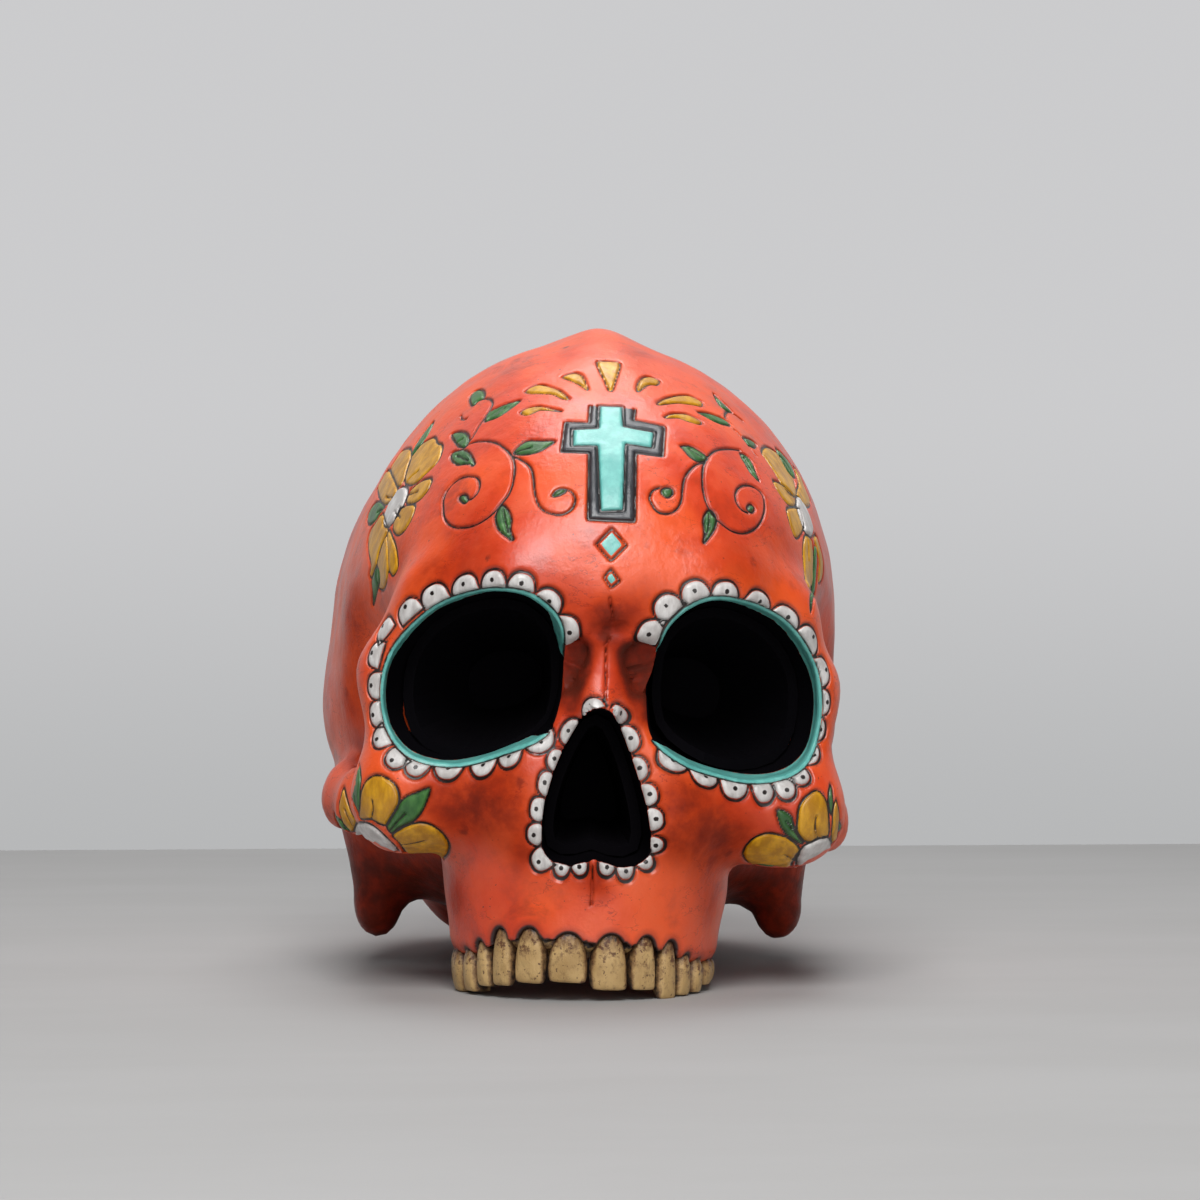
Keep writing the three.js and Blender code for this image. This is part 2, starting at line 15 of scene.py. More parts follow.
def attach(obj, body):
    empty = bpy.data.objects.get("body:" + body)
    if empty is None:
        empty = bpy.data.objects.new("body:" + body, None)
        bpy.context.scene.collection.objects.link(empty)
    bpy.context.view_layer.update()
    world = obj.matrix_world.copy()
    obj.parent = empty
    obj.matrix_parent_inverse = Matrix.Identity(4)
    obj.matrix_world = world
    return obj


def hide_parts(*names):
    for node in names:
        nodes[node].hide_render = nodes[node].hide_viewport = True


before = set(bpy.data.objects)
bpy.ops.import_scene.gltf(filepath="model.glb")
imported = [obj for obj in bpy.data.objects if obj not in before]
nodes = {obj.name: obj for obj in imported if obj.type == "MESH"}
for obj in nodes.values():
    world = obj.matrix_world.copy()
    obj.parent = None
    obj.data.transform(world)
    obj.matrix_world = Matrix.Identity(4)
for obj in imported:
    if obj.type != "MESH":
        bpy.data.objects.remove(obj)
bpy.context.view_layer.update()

MM = 0.001
SIDES = {"left": -1, "right": 1}

# The whole skull
HALF_WIDTH = 66
SPANS = np.array([HALF_WIDTH, 89, 159])
LEAN = math.radians(2.5)
MIDLINE_EASE = 3

# Where this casting departs from an even skull: the middle of each soft shift, how far it reaches along
# the three axes and the shift itself
SHIFTS = [
    ((0, -84, 47), (20, 40, 22), (-2.5, 0, 0)),
    ((-2, -80, 8), (30, 45, 18), (-2.4, 0, 0)),
    ((0, -84, 76), (6.5, 20, 9), (-1.4, 0, 0)),
    ((32, -60, 14), (14, 40, 24), (-2, 0, 0)),
    ((-23, -78, 53), (15, 16, 9), (0, 0, 2.3)),
    ((50, 12, 14), (16, 22, 18), (3.6, 0, 0)),
    ((-48, 12, 8), (16, 22, 14), (0.5, 0, -3)),
    ((11, -82, 44), (11, 40, 20), (-1.2, 0, 0)),
    ((1, -84, 66), (12, 40, 11), (-1, 0, 0)),
    ((-48, 5, 128), (34, 90, 34), (1.8, 0, -0.4)),
    ((-64, 0, 74), (22, 90, 34), (1.1, 0, 0)),
    ((58, -52, 72), (13, 30, 22), (-2.2, 0, 0)),
    ((62, 0, 84), (20, 50, 18), (-0.8, 0, 0)),
    ((-33, -60, 21), (12, 30, 8), (-1.6, 0, 0)),
    ((34, -60, 22), (9, 30, 7), (1.2, 0, 0)),
    ((36, -55, 33), (12, 25, 9), (-2.4, 0, 0)),
    ((-28, -58, 9), (9, 18, 8), (0, 0, -1.6)),
    ((28, -58, 9), (9, 18, 8), (0, 0, -1.6)),
    ((-48.5, -62, 68), (8, 16, 17), (-1.8, 0, 0)),
    ((48.5, -62, 68), (8, 16, 17), (1.9, 0, 0)),
    ((-59, -32, 45), (12, 26, 14), (1.4, 0, -3)),
    ((59, -32, 45), (12, 26, 14), (0, 0, -3)),
]

# Eye sockets and nose opening
EYE_HALF_WIDTH, EYE_HALF_HEIGHT = 19.3, 20.5
EYE_OFFSET, EYE_HEIGHT_ON_TABLE = 30, 71.5
EYE_DEPTH, EYE_BACK = 42, -31
EYE_RIM_FRONT, EYE_RIM_SWEEP, EYE_RIM_WIDTH, EYE_INNER_EDGE = -79, 19, 39, 11
EYE_DRIFT, EYE_BACK_SHARE, EYE_TAPER_POWER = 13, 0.25, 1.1
EYE_RIM_ROUNDING = 2.4
NOSE_HALF_WIDTH, NOSE_HALF_HEIGHT, NOSE_HEIGHT_ON_TABLE = 12.8, 17.5, 48.5
NOSE_FRONT, NOSE_BACK, NOSE_BACK_SHARE = -80, -42, 0.65
NOSE_RIM_ROUNDING = 1.0
NOSE_LINING_FRONT = -74
EYE_OUTLINE = [
    (-1, 0.22), (-0.9, 0.68), (-0.5, 0.98), (0.05, 0.98), (0.6, 0.73), (0.97, 0.22),
    (1, -0.42), (0.76, -0.85), (0.21, -1), (-0.39, -0.88), (-0.86, -0.6), (-1, -0.22),
]
NOSE_OUTLINE = [
    (0, 1), (0.25, 0.93), (0.48, 0.66), (0.72, 0.26), (0.91, -0.17), (1, -0.6), (0.91, -0.89),
    (0.55, -1), (0.17, -0.95), (0, -0.91), (-0.17, -0.95), (-0.55, -1), (-0.91, -0.89),
    (-1, -0.6), (-0.91, -0.17), (-0.72, 0.26), (-0.48, 0.66), (-0.25, 0.93),
]

# The bone as blended forms, in shares of the half width, the half length and the height. Bars have their
# radii and squash, and every form its blend, in shares of the half width. Paired forms stand on both sides.
BONE_FORMS = [
    ("ball", "middle", "add", ((0, 0.067, 0.528), (0.955, 0.978, 0.453)), 0),
    ("ball", "middle", "add", ((0, 0.022, 0.654), (0.18, 0.57, 0.336)), 0.15),
    ("ball", "paired", "add", ((0.5, 0.382, 0.547), (0.42, 0.404, 0.22)), 0.21),
    ("ball", "middle", "add", ((0, 0.562, 0.289), (0.758, 0.449, 0.226)), 0.21),
    ("ball", "paired", "add", ((0.47, 0.225, 0.377), (0.5, 0.449, 0.176)), 0.21),
    ("ball", "middle", "add", ((0, 0.247, 0.201), (0.818, 0.539, 0.138)), 0.21),
    ("ball", "middle", "add", ((0, 0.56, 0.09), (0.53, 0.27, 0.105)), 0.21),
    ("ball", "middle", "add", ((0, -0.382, 0.61), (0.727, 0.551, 0.233)), 0.18),
    ("ball", "paired", "carve", ((1.03, -0.427, 0.428), (0.318, 0.225, 0.164)), 0.15),
    ("bar", "paired", "add", ((0.076, -0.82, 0.553), (0.333, -0.809, 0.585), (0.091, 0.083)), 0.24),
    ("bar", "paired", "add", ((0.333, -0.809, 0.585), (0.621, -0.697, 0.553), (0.083, 0.076)), 0.21),
    ("bar", "paired", "add", ((0.621, -0.697, 0.553), (0.758, -0.629, 0.453), (0.076, 0.083)), 0.18),
    ("bar", "paired", "add", ((0.758, -0.629, 0.453), (0.727, -0.685, 0.314), (0.083, 0.098)), 0.15),
    ("ball", "paired", "add", ((0.636, -0.674, 0.27), (0.227, 0.124, 0.075)), 0.15),
    ("ball", "middle", "add", ((0, -0.539, 0.239), (0.53, 0.393, 0.189)), 0.12),
    ("bar", "paired", "add", ((0.273, -0.798, 0.283), (0.667, -0.719, 0.277), (0.152, 0.136)), 0.14),
    ("drum", "middle", "add", ((0, -0.575, 0.145), (0.492, 0.386, 0.088), 0.06), 0.11),
    ("ball", "middle", "add", ((0, -0.337, 0.377), (0.212, 0.472, 0.214)), 0.12),
    ("bar", "middle", "add", ((0, -0.865, 0.516), (0, -0.944, 0.415), (0.045, 0.061)), 0.08),
    ("bar", "paired", "add", ((0.106, -0.854, 0.44), (0.258, -0.843, 0.27), (0.076, 0.114)), 0.11),
    ("bar", "paired", "carve",
     ((0.125, -0.985, 0.49), (0.145, -0.985, 0.458), (0.068, 0.064), (0.85, 2.4, 1)), 0.03),
    ("ball", "middle", "carve", ((0, -1.035, 0.53), (0.1, 0.095, 0.016)), 0.03),
    ("ball", "paired", "carve", ((0.409, -1.045, 0.214), (0.136, 0.101, 0.057)), 0.09),
    ("ball", "paired", "carve", ((0.833, -0.427, 0.075), (0.333, 0.404, 0.126)), 0.09),
    ("ball", "paired", "carve", ((0.758, -0.427, 0.327), (0.121, 0.18, 0.151)), 0.06),
    ("bar", "paired", "add",
     ((0.727, -0.629, 0.27), (0.864, -0.427, 0.27), (0.098, 0.07), (1, 1, 1.5)), 0.09),
    ("bar", "paired", "add",
     ((0.864, -0.427, 0.27), (0.894, -0.135, 0.264), (0.07, 0.073), (1, 1, 1.5)), 0.06),
    ("bar", "paired", "add",
     ((0.894, -0.135, 0.264), (0.803, 0.09, 0.27), (0.073, 0.106), (1, 1, 1.3)), 0.09),
    ("bar", "paired", "add",
     ((0.712, 0.157, 0.214), (0.75, 0.13, 0.097), (0.25, 0.125), (0.72, 1, 1)), 0.12),
    ("bar", "paired", "add", ((0.21, 0.09, 0.085), (0.18, 0.2, 0.07), (0.091, 0.091)), 0.08),
    ("bar", "paired", "add",
     ((0.227, -0.247, 0.239), (0.227, -0.225, 0.088), (0.076, 0.053), (0.5, 1.3, 1)), 0.08),
    ("bar", "middle", "carve", ((0, 0.24, -0.126), (0, 0.24, 0.16), (0.22, 0.19), (1, 1.15, 1)), 0.06),
    ("ball", "middle", "carve", ((0, -0.494, 0.013), (0.318, 0.337, 0.101)), 0.06),
    ("ball", "middle", "carve", ((0, -0.09, 0.05), (0.394, 0.17, 0.088)), 0.12),
]

# Seams between the pieces, seen from the front in shares of the half width and height, and their depths
CHEEK_SEAM = [(0.41, 0.327), (0.53, 0.226), (0.61, 0.126), (1.2, 0.126), (1.2, 0.484), (0.6, 0.484)]
CHEEK_BACK = -47
ARCH_SEAM = [(0.78, 0.2), (1.2, 0.2), (1.2, 0.33), (0.78, 0.33)]
ARCH_BACK = -23.1
JAW_LOW_SEAM = [(0, -0.1), (0.61, -0.1), (0.61, 0.126), (0.53, 0.226), (0.42, 0.318), (0, 0.318)]
JAW_LOW_BACK = -14
JAW_HIGH_SEAM = [(0, 0.28), (0.46, 0.28), (0.41, 0.327), (0.18, 0.5), (0.13, 0.535), (0, 0.547)]
JAW_HIGH_BACK = -60
NASAL_SEAM = [(0, 0.384), (0.114, 0.384), (0.083, 0.453), (0.076, 0.535), (0, 0.547)]
NASAL_BACK = -73.9
SEAM_FRONT = -110

# Teeth, along half an oval arch
ARCH_HALF_WIDTH, ARCH_HALF_LENGTH, ARCH_CENTRE = 28.3, 33, -49
JAW_CUT_HEIGHT = 12
ARCH_SQUARENESS = 0.92
# Each tooth's depth, the share of it at the edge and, on the left and on the right, its width, gum height
# and edge height
TEETH = {
    "central_incisor": (6.4, 0.4, (9.3, 15.8, 4), (8.6, 15.8, 2.6)),
    "lateral_incisor": (6.2, 0.4, (8, 16.6, 3.3), (6.6, 15.5, 2.7)),
    "canine": (7.2, 0.45, (6.4, 16.2, 2.2), (5.8, 14.6, 0.5)),
    "first_premolar": (7.6, 0.8, (5.4, 13.2, 1.6), (5.4, 11.8, 1.2)),
    "second_premolar": (7.8, 0.85, (6, 11.2, -0.2), (5.8, 10.8, 1.8)),
    "first_molar": (8.2, 0.9, (7.8, 10.4, -0.9), (7.8, 10.2, 3.4)),
    "second_molar": (7.8, 0.9, (6.4, 10, -0.9), (6.4, 9.8, 3.6)),
}
# The bone's lower edge between the teeth, from side to side, and how far it is cut back below that
GUM_LINE_ACROSS = [-30, -24, -18, -12, 0, 12, 18, 24, 30]
GUM_LINE_HEIGHTS = [8, 9.4, 12.6, 13.9, 13, 12.8, 10.8, 8.6, 7.8]
GUM_LINE_WAVES = [(0.3, 1.3, 0), (0.22, 2.9, 1), (0.15, 5.3, 2)]
GUM_SHELF, GUM_SHELF_REACH = 1.5, -2
TABLE_REACH = 10
GUM_TOP, GUM_BACK = 24, -40
GUM_HOLLOW_OUTWARD = -1.0
GUM_HOLLOW_WIDTH_SHARE, GUM_HOLLOW_DEPTH_SHARE = 0.43, 1.2
GUM_HOLLOW_HALF_HEIGHT = 4.5
GUM_ROUNDING = 0.5
FAR_FROM_GUM = 50.0

# A tooth's rings, from its edge up: the share of the way to the gum, the share of its width, how far its
# outer face stands from the bone's and how far its inner face reaches in shares of half its depth. None
# stands for the edge's own share.
TOOTH_RINGS = [
    (0.0, 0.8, -1.3, None), (0.03, 0.98, -0.7, None), (0.25, 1.04, -0.25, 0.7), (0.48, 1.0, 0.0, 0.95),
    (0.68, 0.88, 0.0, 0.95), (0.84, 0.7, -0.3, 0.9), (0.95, 0.52, -0.8, 0.8), (1.02, 0.3, -1.6, 0.6),
]
TOOTH_RING_POINTS = 16
TOOTH_CORNER_POWER = 0.72
TOOTH_GAP = 0.1

# The photograph's camera, in the table's frame
CAMERA_PLACE = np.array([-65.68, -890.23, 91])
CAMERA_YAW = math.radians(-4.5)
PHOTO_SIZE = 1200
FOCAL_PIXELS = 3556
SENSOR = 36
# About how many of its pixels a millimetre of the face takes
PIXELS_PER_MM = 4.3

# Painted and engraved ornament, where the photograph shows it. Closed shapes first.
CROSS_BORDER_PIXELS = [
    (591, 399), (636, 402), (634, 419), (665, 426), (663, 456), (636, 452),
    (635, 521), (588, 519), (589, 452), (561, 451), (565, 421), (589, 422),
]
CROSS_PIXELS = [
    (599, 405), (623, 406), (624, 425), (655, 431), (653, 447), (626, 443),
    (624, 510), (600, 511), (597, 445), (572, 445), (572, 428), (598, 427),
]
DIAMOND_LINE_PIXELS = [
    [(612, 528), (627, 545), (611, 561), (596, 544)],
    [(611, 569), (620, 581), (611, 588), (604, 577)],
]
DIAMOND_PIXELS = [
    [(612, 532), (622, 545), (611, 556), (601, 544)],
    [(611, 573), (616, 580), (611, 584), (607, 578)],
]
RAY_PIXELS = [
    [(525, 391), (532, 386), (541, 384), (552, 387), (561, 391), (569, 399), (562, 398), (553, 394),
     (541, 393), (530, 393)],
    [(520, 412), (527, 408), (538, 406), (550, 408), (562, 411), (550, 410), (540, 410), (533, 413),
     (526, 415)],
    [(562, 376), (569, 373), (577, 372), (583, 376), (588, 389), (580, 384), (570, 379)],
    [(597, 362), (603, 361), (613, 361), (620, 363), (617, 376), (611, 391), (604, 378)],
    [(638, 391), (638, 383), (643, 377), (651, 376), (660, 380), (657, 384), (648, 384)],
    [(658, 404), (664, 398), (675, 395), (688, 395), (697, 399), (703, 403), (701, 406), (692, 404),
     (675, 402)],
    [(665, 417), (672, 413), (683, 413), (692, 416), (702, 422), (699, 424), (689, 421), (678, 417)],
]
HEART_PIXELS = [
    [(404, 486), (407, 491), (403, 503), (397, 515), (390, 525), (385, 527), (383, 522), (387, 510),
     (393, 497), (399, 489)],
    [(797, 496), (800, 497), (806, 508), (811, 522), (813, 533), (811, 537), (806, 533), (801, 521),
     (797, 507)],
    [(356, 824), (362, 823), (370, 825), (380, 832), (390, 842), (398, 851), (400, 857), (385, 857),
     (370, 853), (360, 845), (354, 835)],
    [(794, 875), (796, 865), (799, 855), (804, 847), (812, 843), (820, 839), (827, 837), (831, 841),
     (831, 850), (826, 858), (817, 866), (806, 873), (798, 876)],
]
PETAL_PIXELS = [
    # the flower on the left temple
    [(404, 482), (408, 465), (414, 452), (424, 442), (434, 437), (437, 443), (441, 444), (441, 450),
     (436, 462), (424, 474), (412, 484)],
    [(398, 487), (393, 478), (390, 468), (395, 458), (403, 450), (409, 448), (411, 454), (409, 465),
     (404, 478)],
    [(392, 500), (384, 505), (379, 499), (377, 490), (381, 480), (388, 470), (391, 474), (395, 483),
     (397, 490)],
    [(408, 493), (412, 487), (421, 480), (430, 478), (431, 482), (427, 490), (420, 498), (412, 503),
     (405, 503)],
    [(400, 508), (408, 504), (414, 505), (413, 513), (408, 524), (402, 532), (396, 535), (392, 530),
     (393, 522), (398, 512)],
    [(388, 530), (392, 538), (396, 552), (397, 566), (394, 574), (391, 576), (388, 571), (386, 582),
     (383, 590), (379, 589), (376, 578), (376, 565), (379, 552), (384, 538)],
    [(383, 514), (377, 520), (370, 530), (367, 542), (368, 555), (370, 565), (369, 574), (371, 578),
     (375, 566), (378, 552), (383, 540), (387, 530)],
    # the flower on the right temple
    [(797, 497), (785, 487), (776, 472), (768, 460), (763, 452), (766, 446), (774, 450), (782, 458),
     (790, 470), (796, 484)],
    [(798, 495), (799, 485), (797, 475), (793, 466), (800, 476), (806, 490), (811, 503), (807, 507)],
    [(796, 506), (790, 505), (783, 497), (777, 488), (774, 480), (780, 482), (788, 488), (795, 498)],
    [(798, 508), (788, 508), (789, 518), (793, 530), (797, 538), (801, 536), (804, 528), (801, 515)],
    [(806, 535), (804, 545), (804, 560), (805, 578), (808, 585), (811, 590), (813, 580), (814, 565),
     (813, 550), (811, 539)],
    [(814, 538), (817, 550), (819, 565), (818, 583), (822, 580), (823, 565), (820, 548), (816, 535)],
    # the flower on the left cheek
    [(359, 819), (359, 805), (360, 792), (365, 781), (374, 775), (385, 777), (395, 785), (399, 797),
     (397, 808), (391, 818), (386, 826), (378, 824), (370, 820)],
    [(392, 836), (400, 830), (410, 825), (422, 823), (434, 827), (444, 836), (449, 847), (445, 857),
     (434, 862), (422, 861), (410, 857), (403, 850), (398, 843)],
    [(355, 822), (350, 812), (346, 799), (343, 787), (340, 796), (338, 808), (341, 820), (346, 830),
     (352, 834)],
    # the flower on the right cheek
    [(811, 843), (804, 841), (798, 833), (798, 820), (800, 806), (807, 796), (817, 790), (825, 797),
     (829, 808), (830, 822), (829, 836), (818, 839)],
    [(800, 850), (790, 840), (780, 836), (768, 834), (756, 838), (747, 846), (743, 856), (748, 864),
     (758, 868), (772, 869), (786, 871), (791, 866), (795, 858)],
    [(837, 800), (834, 810), (833, 825), (832, 840), (834, 850), (838, 835), (840, 815)],
]
LEAF_PIXELS = [
    # on the left vine
    [(513, 452), (519, 445), (528, 440), (540, 440), (554, 440), (548, 445), (540, 450), (531, 453),
     (520, 454)],
    [(502, 505), (497, 511), (495, 518), (497, 527), (503, 534), (513, 540), (510, 530), (511, 520),
     (508, 511)],
    [(451, 434), (459, 431), (466, 433), (468, 440), (463, 446), (458, 446), (453, 440)],
    [(462, 449), (469, 453), (474, 465), (467, 463), (456, 464), (450, 458), (452, 452)],
    [(484, 421), (487, 413), (496, 408), (508, 403), (520, 400), (509, 409), (498, 416), (487, 420)],
    [(470, 404), (469, 397), (474, 391), (480, 389), (484, 392), (483, 398), (478, 400), (474, 404)],
    [(458, 498), (463, 494), (468, 498), (464, 503)],
    [(552, 496), (556, 490), (562, 488), (566, 490), (561, 494), (556, 496)],
    # on the right vine
    [(681, 446), (690, 446), (700, 451), (708, 457), (706, 460), (698, 461), (690, 456), (684, 449)],
    [(741, 453), (747, 455), (753, 462), (757, 472), (760, 481), (752, 473), (746, 463)],
    [(711, 509), (717, 517), (716, 527), (711, 535), (704, 543), (705, 533), (704, 522), (706, 514)],
    [(744, 437), (750, 438), (757, 443), (756, 447), (750, 445)],
    [(698, 412), (708, 413), (718, 416), (726, 420), (731, 425), (722, 424), (712, 420), (705, 416)],
    [(714, 394), (720, 400), (727, 406), (733, 412), (727, 410), (720, 405)],
    [(747, 509), (751, 504), (755, 509), (752, 513)],
    [(662, 489), (668, 487), (673, 489), (673, 494), (668, 497), (663, 494)],
    # round the temple flowers
    [(411, 455), (414, 447), (422, 434), (433, 421), (429, 431), (421, 444), (413, 455)],
    [(378, 501), (372, 506), (367, 517), (368, 525), (374, 521), (380, 513), (384, 507)],
    [(374, 568), (371, 580), (372, 592), (373, 606), (376, 594), (379, 580), (377, 568)],
    [(776, 448), (783, 462), (790, 473), (796, 478), (792, 467), (785, 457)],
    [(815, 540), (817, 560), (816, 580), (812, 612), (811, 600), (813, 580)],
    # round the cheek flowers
    [(386, 826), (392, 815), (398, 805), (406, 797), (418, 792), (430, 788), (426, 803), (420, 815),
     (411, 823), (400, 828), (391, 834)],
    [(357, 760), (352, 768), (349, 782), (350, 793), (354, 805), (358, 812), (359, 790), (360, 778)],
    [(334, 812), (336, 820), (343, 830), (352, 838), (350, 832), (343, 824), (337, 817)],
    [(777, 810), (785, 811), (792, 817), (795, 828), (800, 838), (804, 845), (796, 842), (786, 834),
     (780, 824)],
    [(734, 876), (744, 869), (757, 865), (772, 866), (784, 869), (792, 873), (775, 872), (760, 872),
     (748, 874)],
    [(831, 784), (829, 795), (830, 806), (832, 815), (834, 805), (833, 792)],
    [(840, 822), (842, 828), (840, 838)],
]
# Open lines
VINE_PIXELS = [
    [(430, 471), (440, 462), (450, 455), (462, 448), (470, 442), (480, 440), (492, 441), (502, 446),
     (511, 455), (514, 466), (513, 480), (509, 493), (501, 504), (492, 514), (480, 522), (467, 527),
     (453, 527), (444, 519), (442, 506), (443, 497), (449, 487), (458, 479), (468, 476), (477, 478),
     (479, 486), (476, 494), (470, 499), (466, 497)],
    [(512, 455), (522, 460), (530, 467), (533, 478), (534, 490), (537, 502), (543, 510), (553, 514),
     (563, 514), (572, 508), (575, 498), (571, 491), (563, 488), (556, 490)],
    [(463, 447), (470, 438), (479, 424), (488, 412), (492, 404), (490, 399), (484, 398), (478, 400),
     (472, 405)],
    [(460, 415), (461, 419), (466, 418)],
    [(785, 482), (775, 470), (766, 462), (757, 456), (748, 452), (738, 449), (727, 448), (716, 450),
     (708, 457), (704, 466), (703, 478), (704, 490), (708, 504), (714, 515), (722, 523), (732, 530),
     (744, 533), (755, 529), (762, 520), (765, 508), (763, 496), (756, 488), (748, 485), (740, 487),
     (736, 494), (737, 503), (742, 510), (748, 513)],
    [(706, 462), (697, 464), (690, 470), (685, 478), (683, 490), (682, 500), (677, 509), (668, 513),
     (658, 511), (652, 503), (650, 497), (653, 490), (660, 487)],
    [(735, 430), (745, 440), (752, 449), (757, 455)],
    [(726, 418), (726, 413), (729, 411), (735, 414), (743, 420)],
]
VEIN_PIXELS = [
    [(514, 452), (522, 449), (530, 447)], [(503, 510), (505, 522), (508, 532)],
    [(456, 442), (462, 438)], [(456, 455), (467, 460)], [(488, 418), (504, 408)],
    [(690, 449), (703, 457)], [(710, 513), (710, 525), (706, 537)], [(745, 457), (753, 470)],
    [(405, 484), (411, 476), (418, 470)], [(406, 495), (417, 491)], [(399, 508), (409, 503)],
    [(395, 512), (399, 518)], [(392, 498), (386, 497)], [(386, 507), (377, 512)],
    [(386, 534), (387, 550), (388, 571)], [(797, 500), (788, 492)], [(808, 540), (809, 560)],
    [(370, 820), (372, 810), (371, 801)], [(401, 846), (412, 845), (424, 842)],
    [(389, 832), (397, 823), (405, 814)], [(352, 827), (347, 818), (344, 810)],
    [(357, 812), (355, 804), (354, 797)], [(818, 838), (816, 828), (817, 817)],
    [(793, 861), (785, 856)], [(801, 841), (792, 829), (787, 822)],
]
SUTURE_PIXELS = [
    [(610, 598), (611, 606), (613, 615), (612, 622), (610, 630), (609, 640), (605, 645)],
    [(606, 645), (606, 660), (606, 680), (606, 697), (608, 705)],
    [(592, 866), (593, 875), (592, 883), (592, 894), (591, 905)],
]
# The middles of the white scallops round each opening, in order
SCALLOP_PIXELS = {
    "eye_left": [
        (570, 632), (549.5, 601), (521.8, 583.2), (492.7, 580), (463.8, 584.1), (432.5, 593.4),
        (405.7, 606.8), (383.4, 626.1), (372.2, 653.2), (371.3, 685.4), (373.2, 715), (377.2, 740),
        (392, 760.9), (415.6, 768.1), (448.2, 769.3), (483.4, 765.4), (509.3, 756.8), (541.5, 742.5),
    ],
    "eye_right": [
        (648.4, 633.8), (666, 605.9), (694.5, 591), (726.5, 591.5), (759.2, 601.5), (787.7, 617.2),
        (812.7, 636.6), (825.5, 669.9), (826.8, 702.1), (820.5, 729.6), (814.2, 755.6), (802.6, 777.7),
        (786.5, 790.5), (764.1, 792.9), (734.3, 789.3), (704.8, 777.2), (672.6, 760.6),
    ],
    "nose": [
        (592, 705.5), (568, 730.4), (553.9, 758.5), (544.4, 782.6), (536.1, 809.1), (533.7, 834.8),
        (539, 861.8), (561.3, 868), (579.3, 866.8), (606.9, 867.1), (625.7, 871.3), (645.6, 861.8),
        (655.5, 845.3), (656.2, 819.1), (650, 794.2), (640.1, 768.1), (631, 737.8), (619.4, 713),
    ],
}
STAIN_PIXELS = [
    (487, 558, 2.5), (753, 562, 4), (564, 348, 5), (474, 803, 8), (464, 830, 6), (520, 782, 4),
    (728, 854, 5), (346, 692, 5), (648, 459, 1.5),
]
# Soft patches of dark wash and painted shade: the middle of each, its radius in millimetres and its strength
SHADE_PIXELS = [
    (608, 618, 6, 0.8), (606, 634, 2.6, 0.8), (560, 602, 8, 0.45), (645, 604, 7, 0.45),
    (588, 650, 2.4, 0.95), (586, 666, 2.4, 0.95), (579, 684, 2.6, 0.85), (571, 704, 3, 0.8),
    (625, 650, 2.4, 0.95), (628, 668, 2.6, 0.95), (636, 690, 3.4, 0.9), (647, 714, 3.4, 0.8),
    (577, 650, 4.2, 0.97), (574, 670, 4.6, 0.95), (570, 692, 4.6, 0.95), (583, 672, 3, 0.9),
    (638, 650, 4.2, 0.97), (644, 672, 4.8, 0.95), (646, 696, 4.8, 0.9), (634, 674, 3.2, 0.85),
    (476, 808, 10, 0.68), (512, 795, 8, 0.55), (440, 800, 8, 0.5), (524, 850, 6, 0.55),
    (722, 842, 12, 0.7), (688, 800, 10, 0.62), (672, 840, 7, 0.45), (580, 872, 5, 0.5),
    (600, 884, 4, 0.5), (352, 700, 12, 0.55), (350, 610, 14, 0.55), (395, 560, 9, 0.5),
    (820, 560, 9, 0.5), (745, 560, 12, 0.45), (470, 550, 14, 0.42), (425, 575, 9, 0.45),
    (785, 545, 11, 0.4), (832, 655, 10, 0.5), (455, 900, 8, 0.6), (712, 905, 8, 0.45),
    (500, 380, 9, 0.2), (720, 400, 9, 0.2),
]

# The dark wash and painted shade that darken the skull low down behind the face
LOW_WASH_AND_SHADE_TOP, LOW_WASH_AND_SHADE_FRONT, LOW_WASH_AND_SHADE_FADE = 52, -60, 30
LOW_WASH_AND_SHADE_ALONG, LOW_WASH_AND_SHADE_STRENGTHS = [-60, 20, 60], [0.9, 0.85, 0.35]

# Ornament sizes
CURVE_STEP = 0.5
FACING_LIMIT = 0.05
LINE_HALF_WIDTHS = {
    "border": 0.3, "diamond": 0.2, "ray": 0.18, "heart": 0.26, "petal": 0.27, "leaf": 0.24, "vine": 0.25,
    "vein": 0.18, "suture": 0.12,
}
LINE_DEEPEST = 14
GROOVE_DEPTH, GROOVE_REACH, GROOVE_FLAT = 0.42, 0.75, 0.15
SCALLOP_WIDTH_SHARE, SCALLOP_WIDEST_SHARE = 0.44, 1.25
SCALLOP_ROUNDNESS = 2.4
SCALLOP_TOP, SCALLOP_BASE, SCALLOP_ROOT = 2.15, -2.0, 0.9
SCALLOP_SHARES = {"eye": ([40, 48], [1, 0.58]), "nose": ([34, 40, 60], [0.85, 0.62, 0.7])}
SCALLOP_OUTLINE_GAP, SCALLOP_OUTLINE_HALF_WIDTH = 0.36, 0.25
SCALLOP_DOT_RADIUS = 0.56
SCALLOP_RISE, SCALLOP_SLOPE = 0.3, 0.8
BAND_GAP_MIDDLE, BAND_GAP_HALF = math.radians(189), math.radians(24)
BAND_RISE, BAND_SLOPE = 0.25, 0.5
# The turquoise band's outer edge and width as seen from the front, by the direction from the middle of the
# socket, in degrees from the cheek side towards the brow
BAND_DIRECTIONS = [-180, -150, -120, -90, -45, 0, 45, 90, 110, 130, 150, 180]
BAND_EDGES = [0.8, 0.6, 0.6, 0.6, 0.8, 0.9, 0.6, 0.4, 0.5, 0.6, 0.4, 0.3]
BAND_WIDTHS = [2.4, 2.5, 2.7, 2.9, 2.8, 3.0, 3.6, 3.6, 3.4, 3.4, 3.4, 3.0]
BAND_DEPTH_SHARE, BAND_END_TAPER, BAND_RIM_SLACK = 0.35, 1.4, 2.5
BAND_LINE_HALF_WIDTH, BAND_LINE_DEEPEST = 0.12, 2
